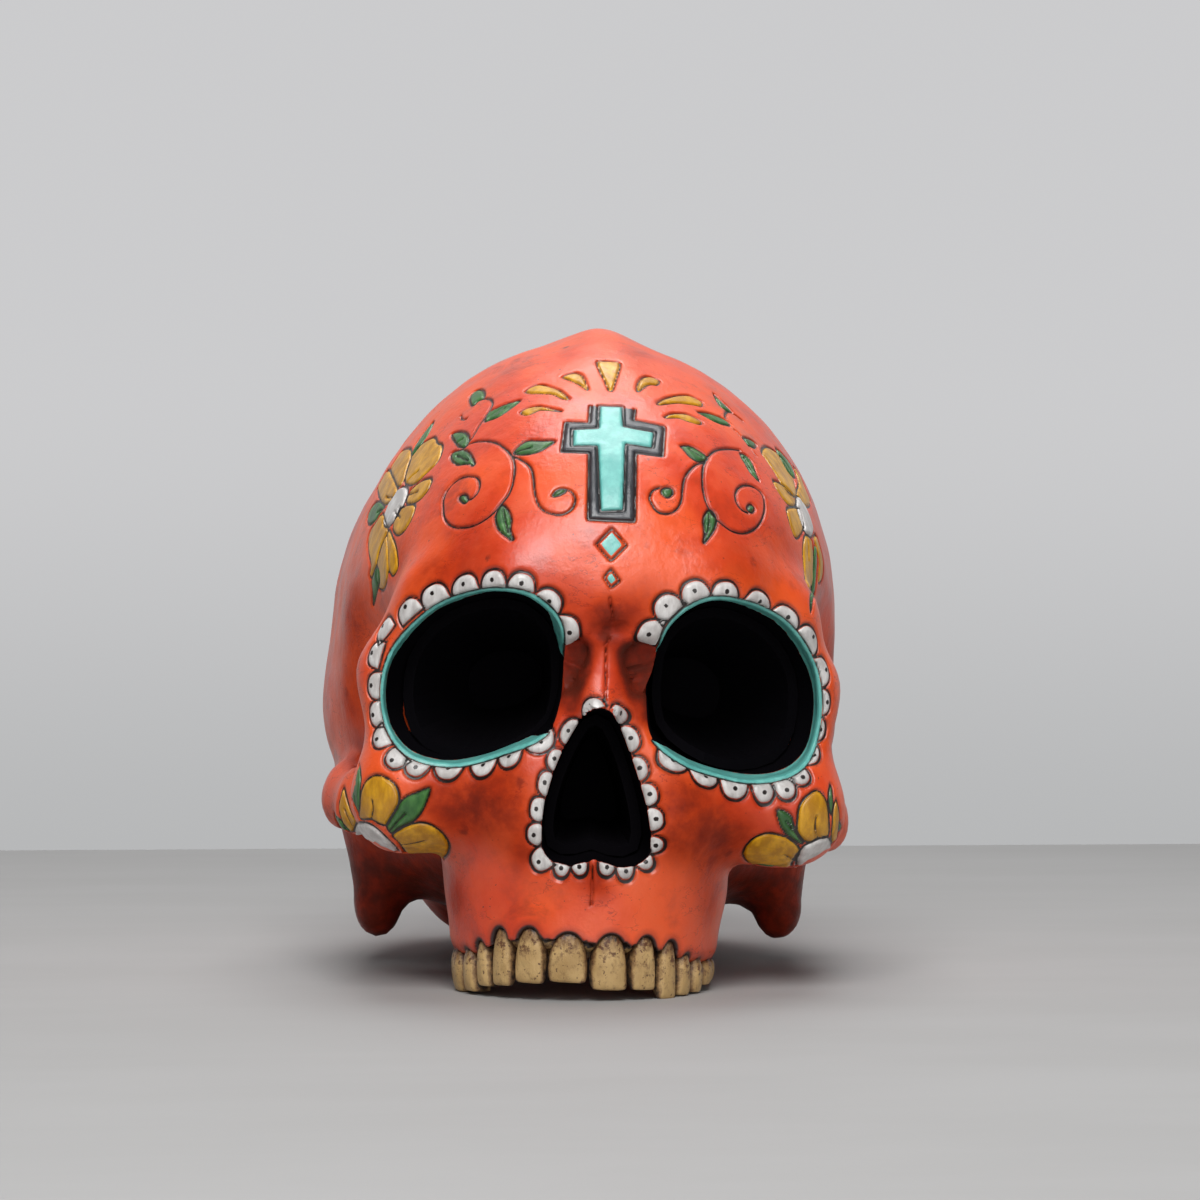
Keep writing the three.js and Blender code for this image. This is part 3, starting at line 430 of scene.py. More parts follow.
# How near a rim its paint lies, and the gap it leaves to the scallops
RIM_REACH, RIM_BACK_SLACK, NOSE_RIM_REACH = 9, 4, 3
RIM_GAP, NOSE_BLACK_EDGE = 0.15, 0.2
LUMPS = [(0.3, 15), (0.12, 6)]
CAVITY_REACH = 9
# Nothing is cut or raised on a seam's faces, and less and less near the table
ON_THE_SURFACE, TABLE_FADE = 0.08, 2
FAR = 4.0

# Paints, as linear colours
BONE_ORANGE = (0.86, 0.095, 0.012)
BONE_RED = (0.68, 0.052, 0.01)
BONE_PINK = (0.86, 0.13, 0.04)
BONE_DEEP = (0.3, 0.022, 0.008)
# Dark brown for the wash, stains and specks, and for painted shade in recesses and patches
WASH_AND_SHADE_BROWN = (0.06, 0.014, 0.008)
WASH_BLACK = (0.014, 0.008, 0.007)
SOCKET_BLACK = (0.0035, 0.003, 0.004)
SOCKET_BLACK_WORN = (0.0042, 0.0037, 0.0047)
CHARCOAL, CHARCOAL_LIGHT = (0.025, 0.027, 0.032), (0.05, 0.053, 0.062)
TURQUOISE, TURQUOISE_DARK = (0.17, 0.55, 0.49), (0.11, 0.43, 0.39)
OCHRE, OCHRE_DARK = (0.72, 0.36, 0.008), (0.46, 0.2, 0.004)
GREEN, GREEN_DARK = (0.07, 0.2, 0.05), (0.025, 0.1, 0.025)
WHITE, WHITE_SHADE = (0.72, 0.7, 0.68), (0.5, 0.47, 0.45)
TOOTH_LIGHT, TOOTH_DARK, TOOTH_BROWN = (0.59, 0.39, 0.165), (0.44, 0.275, 0.105), (0.12, 0.045, 0.018)

FLOOR_PALE, FLOOR_SHADE = (0.39, 0.387, 0.384), (0.37, 0.366, 0.362)
BACKDROP_LOW, BACKDROP_HIGH = (0.47, 0.475, 0.48), (0.6, 0.6, 0.61)
WORLD_GREY = (0.1, 0.1, 0.105)

# The stage and its lamps, in metres and watts
FLOOR_NEAR, FLOOR_FAR, FLOOR_WIDTH = -2, 0.415, 6
BACKDROP_PLACE, BACKDROP_HEIGHT, BACKDROP_SIZE, BACKDROP_GLOW = 1.6, 0.2, (8, 4.5), 0.25
LAMP_AIM = (0, 0, 0.08)
LAMPS = {
    "key": ((-0.12, -0.85, 1.0), 13, 0.7),
    "top": ((0.05, 0.3, 1.25), 9, 0.7),
    "fill": ((0.2, -1.5, 0.2), 6, 1.0),
}

# How finely the bone is drawn
VOXEL = 1.76
SHARP_ANGLE = math.radians(40)
DETAIL_REACHES = [2.5, 0.9]
# A rim's fine strip: how far it goes to each side of the rim, and how far from the opening
RIM_DETAIL = (1.4, 4)


def table_shift():
    """How far the leant skull was moved to bring its box to the middle, read from where the linings are."""
    eyes = np.concatenate([vertex_places(nodes["eye_lining_" + side].data) for side in SIDES])
    middle = eyes.mean(0)
    nose_front = vertex_places(nodes["nose_lining"].data)[:, 1].min()
    return np.array([middle[0] - middle[2] * math.tan(LEAN), nose_front - NOSE_LINING_FRONT, 0])


def vertex_places(mesh):
    """A mesh's vertices in millimetres on the table's frame."""
    places = np.empty(len(mesh.vertices) * 3, np.float32)
    mesh.vertices.foreach_get("co", places)
    return places.reshape(-1, 3).astype(float) / MM


def set_vertex_places(mesh, places):
    mesh.vertices.foreach_set("co", (places * MM).astype(np.float32).ravel())
    mesh.update()


SHIFT = table_shift()
TURN = np.array([
    [math.cos(LEAN), 0, -math.sin(LEAN)],
    [0, 1, 0],
    [math.sin(LEAN), 0, math.cos(LEAN)],
])


def soft_shift(places):
    moved = np.zeros(places.shape)
    for middle, reach, shift in SHIFTS:
        moved += np.exp(-(((places - middle) / reach) ** 2).sum(1))[:, None] * shift
    return moved


def to_table(places):
    """From the even upright skull to this casting as it stands on the table."""
    return (places + soft_shift(places)) @ TURN + SHIFT


def to_skull(places):
    """From the table's frame into the even upright skull."""
    upright = (places - SHIFT) @ TURN.T
    even = upright
    for _ in range(5):
        even = upright - soft_shift(even)
    return even


# Distances to the bone

def smooth_min(a, b, blend):
    if blend == 0:
        return np.minimum(a, b)
    h = np.clip(0.5 + 0.5 * (b - a) / blend, 0, 1)
    return b * (1 - h) + a * h - blend * h * (1 - h)


def smooth_max(a, b, blend):
    return -smooth_min(-a, -b, blend)


def ball_distance(p, centre, radii):
    q = p - centre
    near = np.sqrt(((q / radii) ** 2).sum(1))
    slope = np.sqrt(((q / radii**2) ** 2).sum(1)) + 1e-9
    return near * (near - 1) / slope


def bar_distance(p, start, end, radii, squash=(1, 1, 1)):
    squash = np.array(squash, float)
    q = (p - start) / squash
    along = (end - start) / squash
    t = np.clip(q @ along / (along @ along), 0, 1)
    away = np.sqrt(((q - t[:, None] * along) ** 2).sum(1))
    return (away - radii[0] - t * (radii[1] - radii[0])) * squash.min()


def drum_distance(p, centre, radii, edge):
    q = p - centre
    side = (np.hypot(q[:, 0] / radii[0], q[:, 1] / radii[1]) - 1) * min(radii[0], radii[1])
    return smooth_max(side, abs(q[:, 2]) - radii[2], edge)


def form_distance(kind, p, sizes):
    if kind == "ball":
        return ball_distance(p, sizes[0] * SPANS, sizes[1] * SPANS)
    if kind == "bar":
        radii = np.multiply(sizes[2], HALF_WIDTH)
        return bar_distance(p, sizes[0] * SPANS, sizes[1] * SPANS, radii, *sizes[3:])
    return drum_distance(p, sizes[0] * SPANS, sizes[1] * SPANS, sizes[2] * HALF_WIDTH)


def bone_distance(p):
    """Distance to the surface of the bone without its openings, negative inside it."""
    mirrored = np.column_stack([np.hypot(p[:, 0], MIDLINE_EASE), p[:, 1:]])
    distance = None
    for kind, place, way, sizes, blend in BONE_FORMS:
        own = form_distance(kind, mirrored if place == "paired" else p, sizes)
        if distance is None:
            distance = own
        elif way == "add":
            distance = smooth_min(distance, own, blend * HALF_WIDTH)
        else:
            distance = smooth_max(distance, -own, blend * HALF_WIDTH)
    return distance


def smooth_points(points, closed, steps=8):
    """A smooth curve through the points (Catmull-Rom)."""
    points = np.array(points, float)
    if closed:
        ring = np.vstack([points[-1:], points, points[:2]])
    else:
        ring = np.vstack([2 * points[0] - points[1], points, 2 * points[-1] - points[-2]])
    t = np.arange(steps)[:, None] / steps
    parts = []
    for i in range(len(ring) - 3):
        a, b, c, d = ring[i:i + 4]
        parts.append(0.5 * (2 * b + (c - a) * t + (2 * a - 5 * b + 4 * c - d) * t**2
                            + (3 * b - a - 3 * c + d) * t**3))
    if not closed:
        parts.append(points[-1:])
    return np.vstack(parts)


def outline_reach(outline, half_width, half_height):
    """The outline's distance from its middle, by direction."""
    curve = smooth_points(outline, True, 24) * (half_width, half_height)
    direction = np.arctan2(curve[:, 1], curve[:, 0])
    order = np.argsort(direction)
    return direction[order], np.hypot(curve[:, 0], curve[:, 1])[order]


EYE_REACH = outline_reach(EYE_OUTLINE, EYE_HALF_WIDTH, EYE_HALF_HEIGHT)
NOSE_REACH = outline_reach(NOSE_OUTLINE, NOSE_HALF_WIDTH, NOSE_HALF_HEIGHT)


def eye_rim(across):
    """How far back the rim of an eye socket lies, by the place across it."""
    share = np.clip((across + EYE_OFFSET - EYE_INNER_EDGE) / EYE_RIM_WIDTH, 0, 1)
    return EYE_RIM_FRONT + EYE_RIM_SWEEP * share


def eye_distance(p):
    """Distance to the space in the eye sockets, negative inside it."""
    x = abs(p[:, 0])
    across = x - EYE_OFFSET
    for _ in range(4):
        depth = np.clip((p[:, 1] - eye_rim(across)) / EYE_DEPTH, 0, 1)
        taper = 1 - (1 - EYE_BACK_SHARE) * depth**EYE_TAPER_POWER
        across = (x - EYE_OFFSET + EYE_DRIFT * depth) / taper
    up = (p[:, 2] - EYE_HEIGHT_ON_TABLE) / taper
    reach = np.interp(np.arctan2(up, across), *EYE_REACH, period=2 * math.pi)
    side = (np.hypot(across, up) - reach) * taper
    return np.maximum(side, p[:, 1] - EYE_BACK)


def eye_outline_distance(p):
    """Distance outwards from the sockets' front outline, as seen from the front."""
    across = abs(p[:, 0]) - EYE_OFFSET
    up = p[:, 2] - EYE_HEIGHT_ON_TABLE
    return np.hypot(across, up) - np.interp(np.arctan2(up, across), *EYE_REACH, period=2 * math.pi)


def nose_distance(p):
    depth = np.clip((p[:, 1] - NOSE_FRONT) / (NOSE_BACK - NOSE_FRONT), 0, 1)
    taper = 1 - (1 - NOSE_BACK_SHARE) * depth
    across = p[:, 0] / taper
    up = (p[:, 2] - NOSE_HEIGHT_ON_TABLE) / taper
    reach = np.interp(np.arctan2(up, across), *NOSE_REACH, period=2 * math.pi)
    side = (np.hypot(across, up) - reach) * taper
    return np.maximum(side, p[:, 1] - NOSE_BACK)


def tooth_places():
    """Every tooth's middle on the arch, its direction along the arch and its sizes."""
    turns = np.linspace(-math.pi / 2, math.radians(25), 400)
    sine = np.sin(turns)
    arch = np.column_stack([
        ARCH_HALF_WIDTH * np.cos(turns) ** ARCH_SQUARENESS,
        ARCH_CENTRE + ARCH_HALF_LENGTH * np.sign(sine) * abs(sine) ** ARCH_SQUARENESS,
    ])
    run = np.concatenate([[0], np.linalg.norm(np.diff(arch, axis=0), axis=1).cumsum()])
    places = []
    for side, sign in SIDES.items():
        start = 0
        for name, (depth, edge_share, *sizes) in TEETH.items():
            width, gum, edge = sizes[side == "right"]
            middle = start + width / 2
            start += width
            spot = np.array([np.interp(middle, run, arch[:, k]) for k in range(2)])
            ahead = np.array([np.interp(middle + 0.5, run, arch[:, k]) for k in range(2)])
            along = (ahead - spot) / np.linalg.norm(ahead - spot)
            inward = np.array([-along[1], along[0]])
            out = np.linspace(0, 9, 91)
            heights = np.full(len(out), max(gum, JAW_CUT_HEIGHT))
            level = np.column_stack([spot - out[:, None] * inward, heights])
            front = out[np.argmax(bone_distance(level) > 0)]
            places.append({
                "name": name + "_" + side, "spot": spot * (sign, 1), "along": along * (sign, 1),
                "inward": inward * (sign, 1), "width": width, "depth": depth, "front": front,
                "edge_share": edge_share, "gum": gum, "edge": edge,
            })
    return places


TOOTH_PLACES = tooth_places()


def gum_line(p):
    """The height of the bone's lower edge between the teeth."""
    height = np.interp(p[:, 0], GUM_LINE_ACROSS, GUM_LINE_HEIGHTS)
    for size, turns, start in GUM_LINE_WAVES:
        height += size * np.sin(turns * (p[:, 0] + p[:, 1]) + start)
    return height


def gum_distance(p, bone):
    """Distance to the space cut away round the crowns, negative inside it. The bone is the distance to it."""
    distance = np.full(len(p), FAR_FROM_GUM)
    low = np.flatnonzero((p[:, 2] < GUM_TOP) & (p[:, 1] < GUM_BACK))
    q = p[low]
    if not len(low):
        return distance
    for tooth in TOOTH_PLACES:
        away = q[:, :2] - tooth["spot"]
        local = np.column_stack([away @ tooth["along"], away @ tooth["inward"], q[:, 2]])
        centre = np.array([0, GUM_HOLLOW_OUTWARD * tooth["depth"], tooth["gum"] - GUM_HOLLOW_HALF_HEIGHT])
        radii = np.array([tooth["width"] * GUM_HOLLOW_WIDTH_SHARE, tooth["depth"] * GUM_HOLLOW_DEPTH_SHARE,
                          GUM_HOLLOW_HALF_HEIGHT])
        distance[low] = np.minimum(distance[low], ball_distance(local, centre, radii))
    share = np.hypot(q[:, 0] / ARCH_HALF_WIDTH, (q[:, 1] - ARCH_CENTRE) / ARCH_HALF_LENGTH)
    arch = (share - 1) * ARCH_HALF_WIDTH
    under = np.maximum(q[:, 2] - gum_line(q), np.maximum(-GUM_SHELF - bone[low], GUM_SHELF_REACH - arch))
    distance[low] = np.minimum(distance[low], under)
    return distance


def skull_distance(p):
    """Distance to the bone with its openings and gum hollows, cut level at the table."""
    bone = bone_distance(p)
    distance = smooth_max(bone, -eye_distance(p), EYE_RIM_ROUNDING)
    distance = smooth_max(distance, -nose_distance(p), NOSE_RIM_ROUNDING)
    distance = smooth_max(distance, -gum_distance(p, bone), GUM_ROUNDING)
    low = p[:, 2] < TABLE_REACH
    distance[low] = np.maximum(distance[low], -to_table(p[low])[:, 2])
    return distance


def slope_at(distance_of, p, step=0.04):
    """The distance and its slope along the three axes."""
    here = distance_of(p)
    slope = np.column_stack([(distance_of(p + step * axis) - here) / step for axis in np.eye(3)])
    return here, slope


def unit(vectors):
    return vectors / (np.linalg.norm(vectors, axis=1, keepdims=True) + 1e-9)


def drawn_onto(distance_of, p, rounds=3, most=1.0):
    """Points moved onto the surface where the distance is nothing, and the directions out of it."""
    for _ in range(rounds):
        here, slope = slope_at(distance_of, p)
        steep = (slope**2).sum(1, keepdims=True) + 1e-6
        p = p - np.clip(here[:, None] / steep, -most, most) * slope
    _, slope = slope_at(distance_of, p)
    return p, slope / np.linalg.norm(slope, axis=1, keepdims=True)


# Making and joining meshes

def mesh_object(name, bm):
    mesh = bpy.data.meshes.new(name)
    bm.to_mesh(mesh)
    bm.free()
    made = bpy.data.objects.new(name, mesh)
    bpy.context.scene.collection.objects.link(made)
    return made


def with_modifiers(made):
    """The object's mesh with its modifiers applied."""
    graph = bpy.context.evaluated_depsgraph_get()
    mesh = bpy.data.meshes.new_from_object(made.evaluated_get(graph))
    made.modifiers.clear()
    old = made.data
    made.data = mesh
    bpy.data.meshes.remove(old)
    return made


BONE_NODES = ["cranium"] + [
    name + side for name in ("cheekbone_", "upper_jaw_", "nasal_bone_") for side in SIDES
]


def whole_bone():
    """One closed skin round all the bone, drawn onto the skull's true surface."""
    bm = bmesh.new()
    for name in [n for n in BONE_NODES if "jaw" in n] + [place["name"] for place in TOOTH_PLACES]:
        bm.from_mesh(nodes[name].data)
    bmesh.ops.remove_doubles(bm, verts=bm.verts, dist=0.01 * MM)
    cut = (np.array([0, 0, JAW_CUT_HEIGHT]) @ TURN + SHIFT) * MM
    down = np.array([0, 0, -1]) @ TURN
    bmesh.ops.bisect_plane(bm, geom=bm.verts[:] + bm.edges[:] + bm.faces[:],
                           plane_co=cut, plane_no=down, clear_outer=True)
    bmesh.ops.holes_fill(bm, edges=[edge for edge in bm.edges if edge.is_boundary])
    for name in [n for n in BONE_NODES if "jaw" not in n]:
        bm.from_mesh(nodes[name].data)
    bone = mesh_object("whole_bone", bm)
    skin = bone.modifiers.new("skin", "REMESH")
    skin.mode = "VOXEL"
    skin.voxel_size = VOXEL * MM
    with_modifiers(bone)
    keep_largest_body(bone.data)
    upright = (vertex_places(bone.data) - SHIFT) @ TURN.T
    places, _ = drawn_onto(skull_distance, upright, rounds=5)
    set_vertex_places(bone.data, to_table(places))
    return bone


def linked(vert):
    """The vertices joined to this one by an edge."""
    return [edge.other_vert(vert) for edge in vert.link_edges]


def keep_largest_body(mesh):
    """Deletes every loose body of the mesh but the largest."""
    bm = bmesh.new()
    bm.from_mesh(mesh)
    left = set(bm.verts)
    bodies = []
    while left:
        body, front = set(), [left.pop()]
        while front:
            vert = front.pop()
            body.add(vert)
            for other in linked(vert):
                if other in left:
                    left.remove(other)
                    front.append(other)
        bodies.append(body)
    largest = max(bodies, key=len)
    for body in bodies:
        if body is not largest:
            bmesh.ops.delete(bm, geom=list(body), context="VERTS")
    bm.to_mesh(mesh)
    bm.free()


# The photograph's view of the skull

CAMERA_RIGHT = np.array([math.cos(CAMERA_YAW), math.sin(CAMERA_YAW), 0])
CAMERA_AHEAD = np.array([-math.sin(CAMERA_YAW), math.cos(CAMERA_YAW), 0])


def on_bone(surface, pixel):
    """Where one of the photograph's pixels lies on the bone, in the table's frame, or None beside it."""
    ray = (CAMERA_AHEAD * FOCAL_PIXELS + CAMERA_RIGHT * (pixel[0] - PHOTO_SIZE / 2)
           + np.array([0, 0, PHOTO_SIZE / 2 - pixel[1]]))
    place, *_ = surface.ray_cast(Vector(CAMERA_PLACE * MM), Vector(ray))
    return None if place is None else np.array(place) / MM


def to_pixels(places):
    """Where places in the table's frame show in the photograph."""
    away = places - CAMERA_PLACE
    scale = FOCAL_PIXELS / (away @ CAMERA_AHEAD)
    across = PHOTO_SIZE / 2 + away @ CAMERA_RIGHT * scale
    down = PHOTO_SIZE / 2 - away[:, 2] * scale
    return np.column_stack([across, down])


# Distances along the bone to the ornament, in millimetres

def even_points(points, step):
    """The same line with points at even steps."""
    run = np.concatenate([[0], np.linalg.norm(np.diff(points, axis=0), axis=1).cumsum()])
    count = max(3, int(run[-1] / step))
    stops = np.linspace(0, run[-1], count)
    return np.column_stack([np.interp(stops, run, points[:, k]) for k in range(points.shape[1])])


def drawn_line(surface, pixels, closed, smooth):
    """An ornament's line: its points in the photograph and on the bone."""
    points = np.array(pixels, float)
    if smooth:
        points = smooth_points(points, closed)
    if closed:
        points = np.vstack([points, points[:1]])
    points = even_points(points, PIXELS_PER_MM * CURVE_STEP)
    places = []
    kept = []
    for point in points:
        place = on_bone(surface, point)
        if place is not None:
            places.append(place)
            kept.append(point)
    kept, places = np.array(kept), np.array(places)
    ahead = places @ CAMERA_AHEAD
    same = ahead < min(np.median(ahead), ahead.min() + LINE_DEEPEST) + LINE_DEEPEST
    return kept[same], to_skull(places[same])


def nearest_on_line(p, line):
    """Distance from each point to the line through the given places."""
    start = line[:-1]
    along = line[1:] - start
    length = (along**2).sum(1) + 1e-12
    best = np.full(len(p), FAR)
    for a, b, size in zip(start, along, length):
        q = p - a
        t = np.clip(q @ b / size, 0, 1)
        best = np.minimum(best, np.sqrt(((q - t[:, None] * b) ** 2).sum(1)))
    return best


def inside_outline(points, outline):
    """Which points lie inside a closed outline, both in the photograph's pixels."""
    inside = np.zeros(len(points), bool)
    for a, b in zip(outline, np.roll(outline, -1, axis=0)):
        crosses = (a[1] > points[:, 1]) != (b[1] > points[:, 1])
        rise = b[1] - a[1] if b[1] != a[1] else 1e-9
        inside ^= crosses & (points[:, 0] < a[0] + (points[:, 1] - a[1]) / rise * (b[0] - a[0]))
    return inside


class Ornament:
    """All the drawn lines on the bone, ready to measure any point of it."""

    def __init__(self, surface):
        self.lines = []
        self.add(surface, "border", "charcoal", [CROSS_BORDER_PIXELS], True, False)
        self.add(surface, "border", "turquoise", [CROSS_PIXELS], True, False)
        self.add(surface, "diamond", None, DIAMOND_LINE_PIXELS, True, False)
        self.add(surface, None, "turquoise", DIAMOND_PIXELS, True, False)
        self.add(surface, "ray", "ochre", RAY_PIXELS, True, True)
        self.add(surface, "heart", "white", HEART_PIXELS, True, True)
        self.add(surface, "petal", "ochre", PETAL_PIXELS, True, True)
        self.add(surface, "leaf", "green", LEAF_PIXELS, True, True)
        self.add(surface, "vine", None, VINE_PIXELS, False, True)
        self.add(surface, "vein", None, VEIN_PIXELS, False, True)
        self.add(surface, "suture", None, SUTURE_PIXELS, False, True)
        self.stains = [(to_skull(on_bone(surface, spot[:2])[None])[0], spot[2]) for spot in STAIN_PIXELS]
        self.shades = [(to_skull(on_bone(surface, spot[:2])[None])[0], *spot[2:]) for spot in SHADE_PIXELS]
        self.scallops = []
        for name, pixels in SCALLOP_PIXELS.items():
            self.scallops += scallop_frames(surface, name, pixels)

    def add(self, surface, stroke, paint, shapes, closed, smooth):
        for pixels in shapes:
            points, places = drawn_line(surface, pixels, closed, smooth)
            self.lines.append((stroke, paint, points, places))

    def measure(self, p, normals):
        """The signed distances to every paint and line, negative inside, at points of the bone."""
        found = {name: np.full(len(p), FAR) for name in ("line", "white", "ochre", "green", "turquoise",
                                                         "charcoal", "stain", "dot")}
        table = to_table(p)
        pixels = to_pixels(table)
        facing = normals_to_table(normals) @ CAMERA_AHEAD < FACING_LIMIT
        for stroke, paint, outline, places in self.lines:
            low = places.min(0) - FAR
            high = places.max(0) + FAR
            near = np.flatnonzero(((p > low) & (p < high)).all(1))
            away = nearest_on_line(p[near], places)
            if stroke:
                found["line"][near] = np.minimum(found["line"][near], away - LINE_HALF_WIDTHS[stroke])
            if paint:
                inside = inside_outline(pixels[near], outline) & facing[near]
                signed = np.where(inside, -away, away)
                found[paint][near] = np.minimum(found[paint][near], signed)
        for place, radius in self.stains:
            near = np.linalg.norm(p - place, axis=1) - radius / PIXELS_PER_MM
            found["stain"] = np.minimum(found["stain"], near)
        for scallop in self.scallops:
            measure_scallop(p, scallop, found)
        # Painted shade with a dark wash: low down behind the face and in the listed soft patches
        height_share = np.clip((LOW_WASH_AND_SHADE_TOP - p[:, 2]) / LOW_WASH_AND_SHADE_FADE, 0, 1)
        back_share = np.clip((p[:, 1] - LOW_WASH_AND_SHADE_FRONT) / LOW_WASH_AND_SHADE_FADE, 0, 1)
        strength = np.interp(p[:, 1], LOW_WASH_AND_SHADE_ALONG, LOW_WASH_AND_SHADE_STRENGTHS)
        found["shade"] = strength * height_share * back_share
        for place, radius, strength in self.shades:
            patch = strength * np.exp(-((p - place) ** 2).sum(1) / radius**2)
            found["shade"] = 1 - (1 - found["shade"]) * (1 - patch)
        return found


def normals_to_table(normals):
    return normals @ TURN


def scallop_frames(surface, name, pixels):
    """Each scallop's middle, its directions along the rim and away from the opening, and its sizes."""
    places = np.array([to_skull(on_bone(surface, point)[None])[0] for point in pixels])
    _, normals = drawn_onto(skull_distance, places, rounds=1)
    kind = name.split("_")[0]
    hollow_of = nose_distance if kind == "nose" else eye_distance
    _, outward = slope_at(hollow_of, places)
    outward -= (outward * normals).sum(1, keepdims=True) * normals
    outward /= np.linalg.norm(outward, axis=1, keepdims=True)
    along = np.cross(normals, outward)
    gaps = np.linalg.norm(np.diff(places, axis=0), axis=1)
    before = np.concatenate([gaps[:1], gaps])
    after = np.concatenate([gaps, gaps[-1:]])
    widest = SCALLOP_WIDEST_SHARE * np.median(gaps)
    room = np.minimum(np.minimum(before, after), widest) * SCALLOP_WIDTH_SHARE
    measured = abs(places[:, 0]) if kind == "eye" else places[:, 2]
    share = np.interp(measured, *SCALLOP_SHARES[kind])
    base = SCALLOP_BASE * (share if kind == "nose" else np.ones(len(share)))
    return list(zip(places, along, outward, room, share * SCALLOP_TOP, base))


def measure_scallop(p, scallop, found):
    """Adds one scallop's half disc, its outline and its dot to the distances."""
    place, along, outward, half_width, top, base = scallop
    near = np.flatnonzero(((p - place) ** 2).sum(1) < (half_width + FAR) ** 2)
    q = p[near] - place
    a = q @ along
    b = q @ outward
    lift = q @ np.cross(along, outward)
    up = (b - base) / (top - base)
    power = SCALLOP_ROUNDNESS
    reach = (abs(a / half_width) ** power + np.maximum(up, 0) ** power) ** (1 / power)
    disc = np.maximum((reach - 1) * min(half_width, top - base), base - SCALLOP_ROOT - b)
    disc = np.where(abs(lift) < FAR, disc, FAR)
    found["white"][near] = np.minimum(found["white"][near], disc)
    outline = abs(disc - SCALLOP_OUTLINE_GAP) - SCALLOP_OUTLINE_HALF_WIDTH
    found["line"][near] = np.minimum(found["line"][near], outline)
    dot = np.hypot(np.hypot(a, b), lift / 2) - SCALLOP_DOT_RADIUS
    found["dot"][near] = np.minimum(found["dot"][near], dot)


def band_place(p):
    """The band's outer edge and width at each point, and how far into the band's gap the point is."""
    direction = np.arctan2(p[:, 2] - EYE_HEIGHT_ON_TABLE, abs(p[:, 0]) - EYE_OFFSET)
    degrees = np.degrees(direction)
    turned = abs((direction - BAND_GAP_MIDDLE + math.pi) % (2 * math.pi) - math.pi)
    in_gap = (BAND_GAP_HALF - turned) * EYE_HALF_WIDTH
    return (np.interp(degrees, BAND_DIRECTIONS, BAND_EDGES),
            np.interp(degrees, BAND_DIRECTIONS, BAND_WIDTHS), in_gap)


def paint_rims(p, found):
    """Adds the turquoise bands and the black inside the openings, and keeps the scallops outside them."""
    bone = bone_distance(p)
    eye = eye_distance(p)
    nose = nose_distance(p)
    outline = eye_outline_distance(p)
    edge, width, in_gap = band_place(p)
    across = eye + bone
    by_eye = (abs(eye) < RIM_REACH) & (p[:, 1] < EYE_BACK + RIM_BACK_SLACK)
    by_eye &= across < outline + BAND_RIM_SLACK
    width = np.clip(-in_gap / BAND_END_TAPER, 0, width)
    inward = edge - outline + BAND_DEPTH_SHARE * np.maximum(-across, 0)
    band = np.maximum(np.maximum(-inward, inward - width), in_gap)
    band = np.where(by_eye, band, FAR)
    hollow = width - inward
    hollow = np.where(in_gap > 0, across, hollow)
    hollow = np.where(by_eye, hollow, FAR)
    nose_hollow = nose + bone + NOSE_BLACK_EDGE
    hollow = np.where(nose < NOSE_RIM_REACH, np.minimum(hollow, nose_hollow), hollow)
    found["hollow"] = np.clip(hollow, -FAR, FAR)
    found["band"] = np.clip(band, -FAR, FAR)
    found["turquoise"] = np.minimum(found["turquoise"], found["band"])
    near_rim = np.where(by_eye & (in_gap < 0), edge - outline, -FAR)
    near_rim = np.maximum(near_rim, np.where(nose < NOSE_RIM_REACH, -nose_hollow, -FAR))
    found["white"] = np.maximum(found["white"], near_rim + RIM_GAP)
    found["dot"] = np.maximum(found["dot"], near_rim + RIM_GAP)
    rim_line = np.where(by_eye & (in_gap < 0), abs(outline - edge) - BAND_LINE_HALF_WIDTH, FAR)
    found["line"] = np.maximum(found["line"], near_rim)
    found["line"] = np.minimum(found["line"], np.maximum(rim_line, -across - BAND_LINE_DEEPEST))


def lumps(p):
    """The casting's low uneven lumps."""
    height = np.zeros(len(p))
    for size, length in LUMPS:
        height += [size * noise.noise(place) for place in p / length]
    return height


def set_attribute(mesh, name, values):
    made = mesh.attributes.new(name, "FLOAT", "POINT")
    made.data.foreach_set("value", np.asarray(values, np.float32))


def ornamented(mesh, ornament):
    """Measures the ornament on the mesh for its paint, and cuts the grooves."""
    p = to_skull(vertex_places(mesh))
    away, slope = slope_at(skull_distance, p)
    normals = unit(slope)
    found = ornament.measure(p, normals)
    paint_rims(p, found)
    found["gum"] = np.minimum(gum_distance(p, bone_distance(p)), FAR)
    found["below_gum"] = np.where(p[:, 1] < GUM_BACK, gum_line(p) - p[:, 2], -FAR)
    # How deep in a recess each point lies, for painted shade and dark wash in the hollows
    found["recess_wash_and_shade"] = 1 - skull_distance(p + CAVITY_REACH * normals) / CAVITY_REACH
    for name, values in found.items():
        set_attribute(mesh, name, values)
    groove = GROOVE_DEPTH * np.exp(-(np.maximum(found["line"] + GROOVE_FLAT, 0) / GROOVE_REACH * 2) ** 2)
    rise = SCALLOP_RISE * np.clip(-found["white"] / SCALLOP_SLOPE, 0, 1)
    rise += BAND_RISE * np.clip(-found["band"] / BAND_SLOPE, 0, 1)
    height = (rise - groove + lumps(p)) * (abs(away) < ON_THE_SURFACE)
    height *= np.clip(to_table(p)[:, 2] / TABLE_FADE, 0, 1)
    set_vertex_places(mesh, to_table(p + normals * height[:, None]))


def detail_distance(p, ornament):
    """How far each point is from anything that needs fine detail."""
    _, slope = slope_at(skull_distance, p)
    found = ornament.measure(p, unit(slope))
    near = np.minimum(abs(found["line"]), abs(found["white"]))
    bone = bone_distance(p)
    for hollow in (eye_distance(p), nose_distance(p)):
        near = np.minimum(near, np.maximum(abs(bone + hollow) - RIM_DETAIL[0], 0)
                         + np.maximum(abs(hollow) - RIM_DETAIL[1], 0))
    return np.minimum(near, abs(gum_distance(p, bone)))


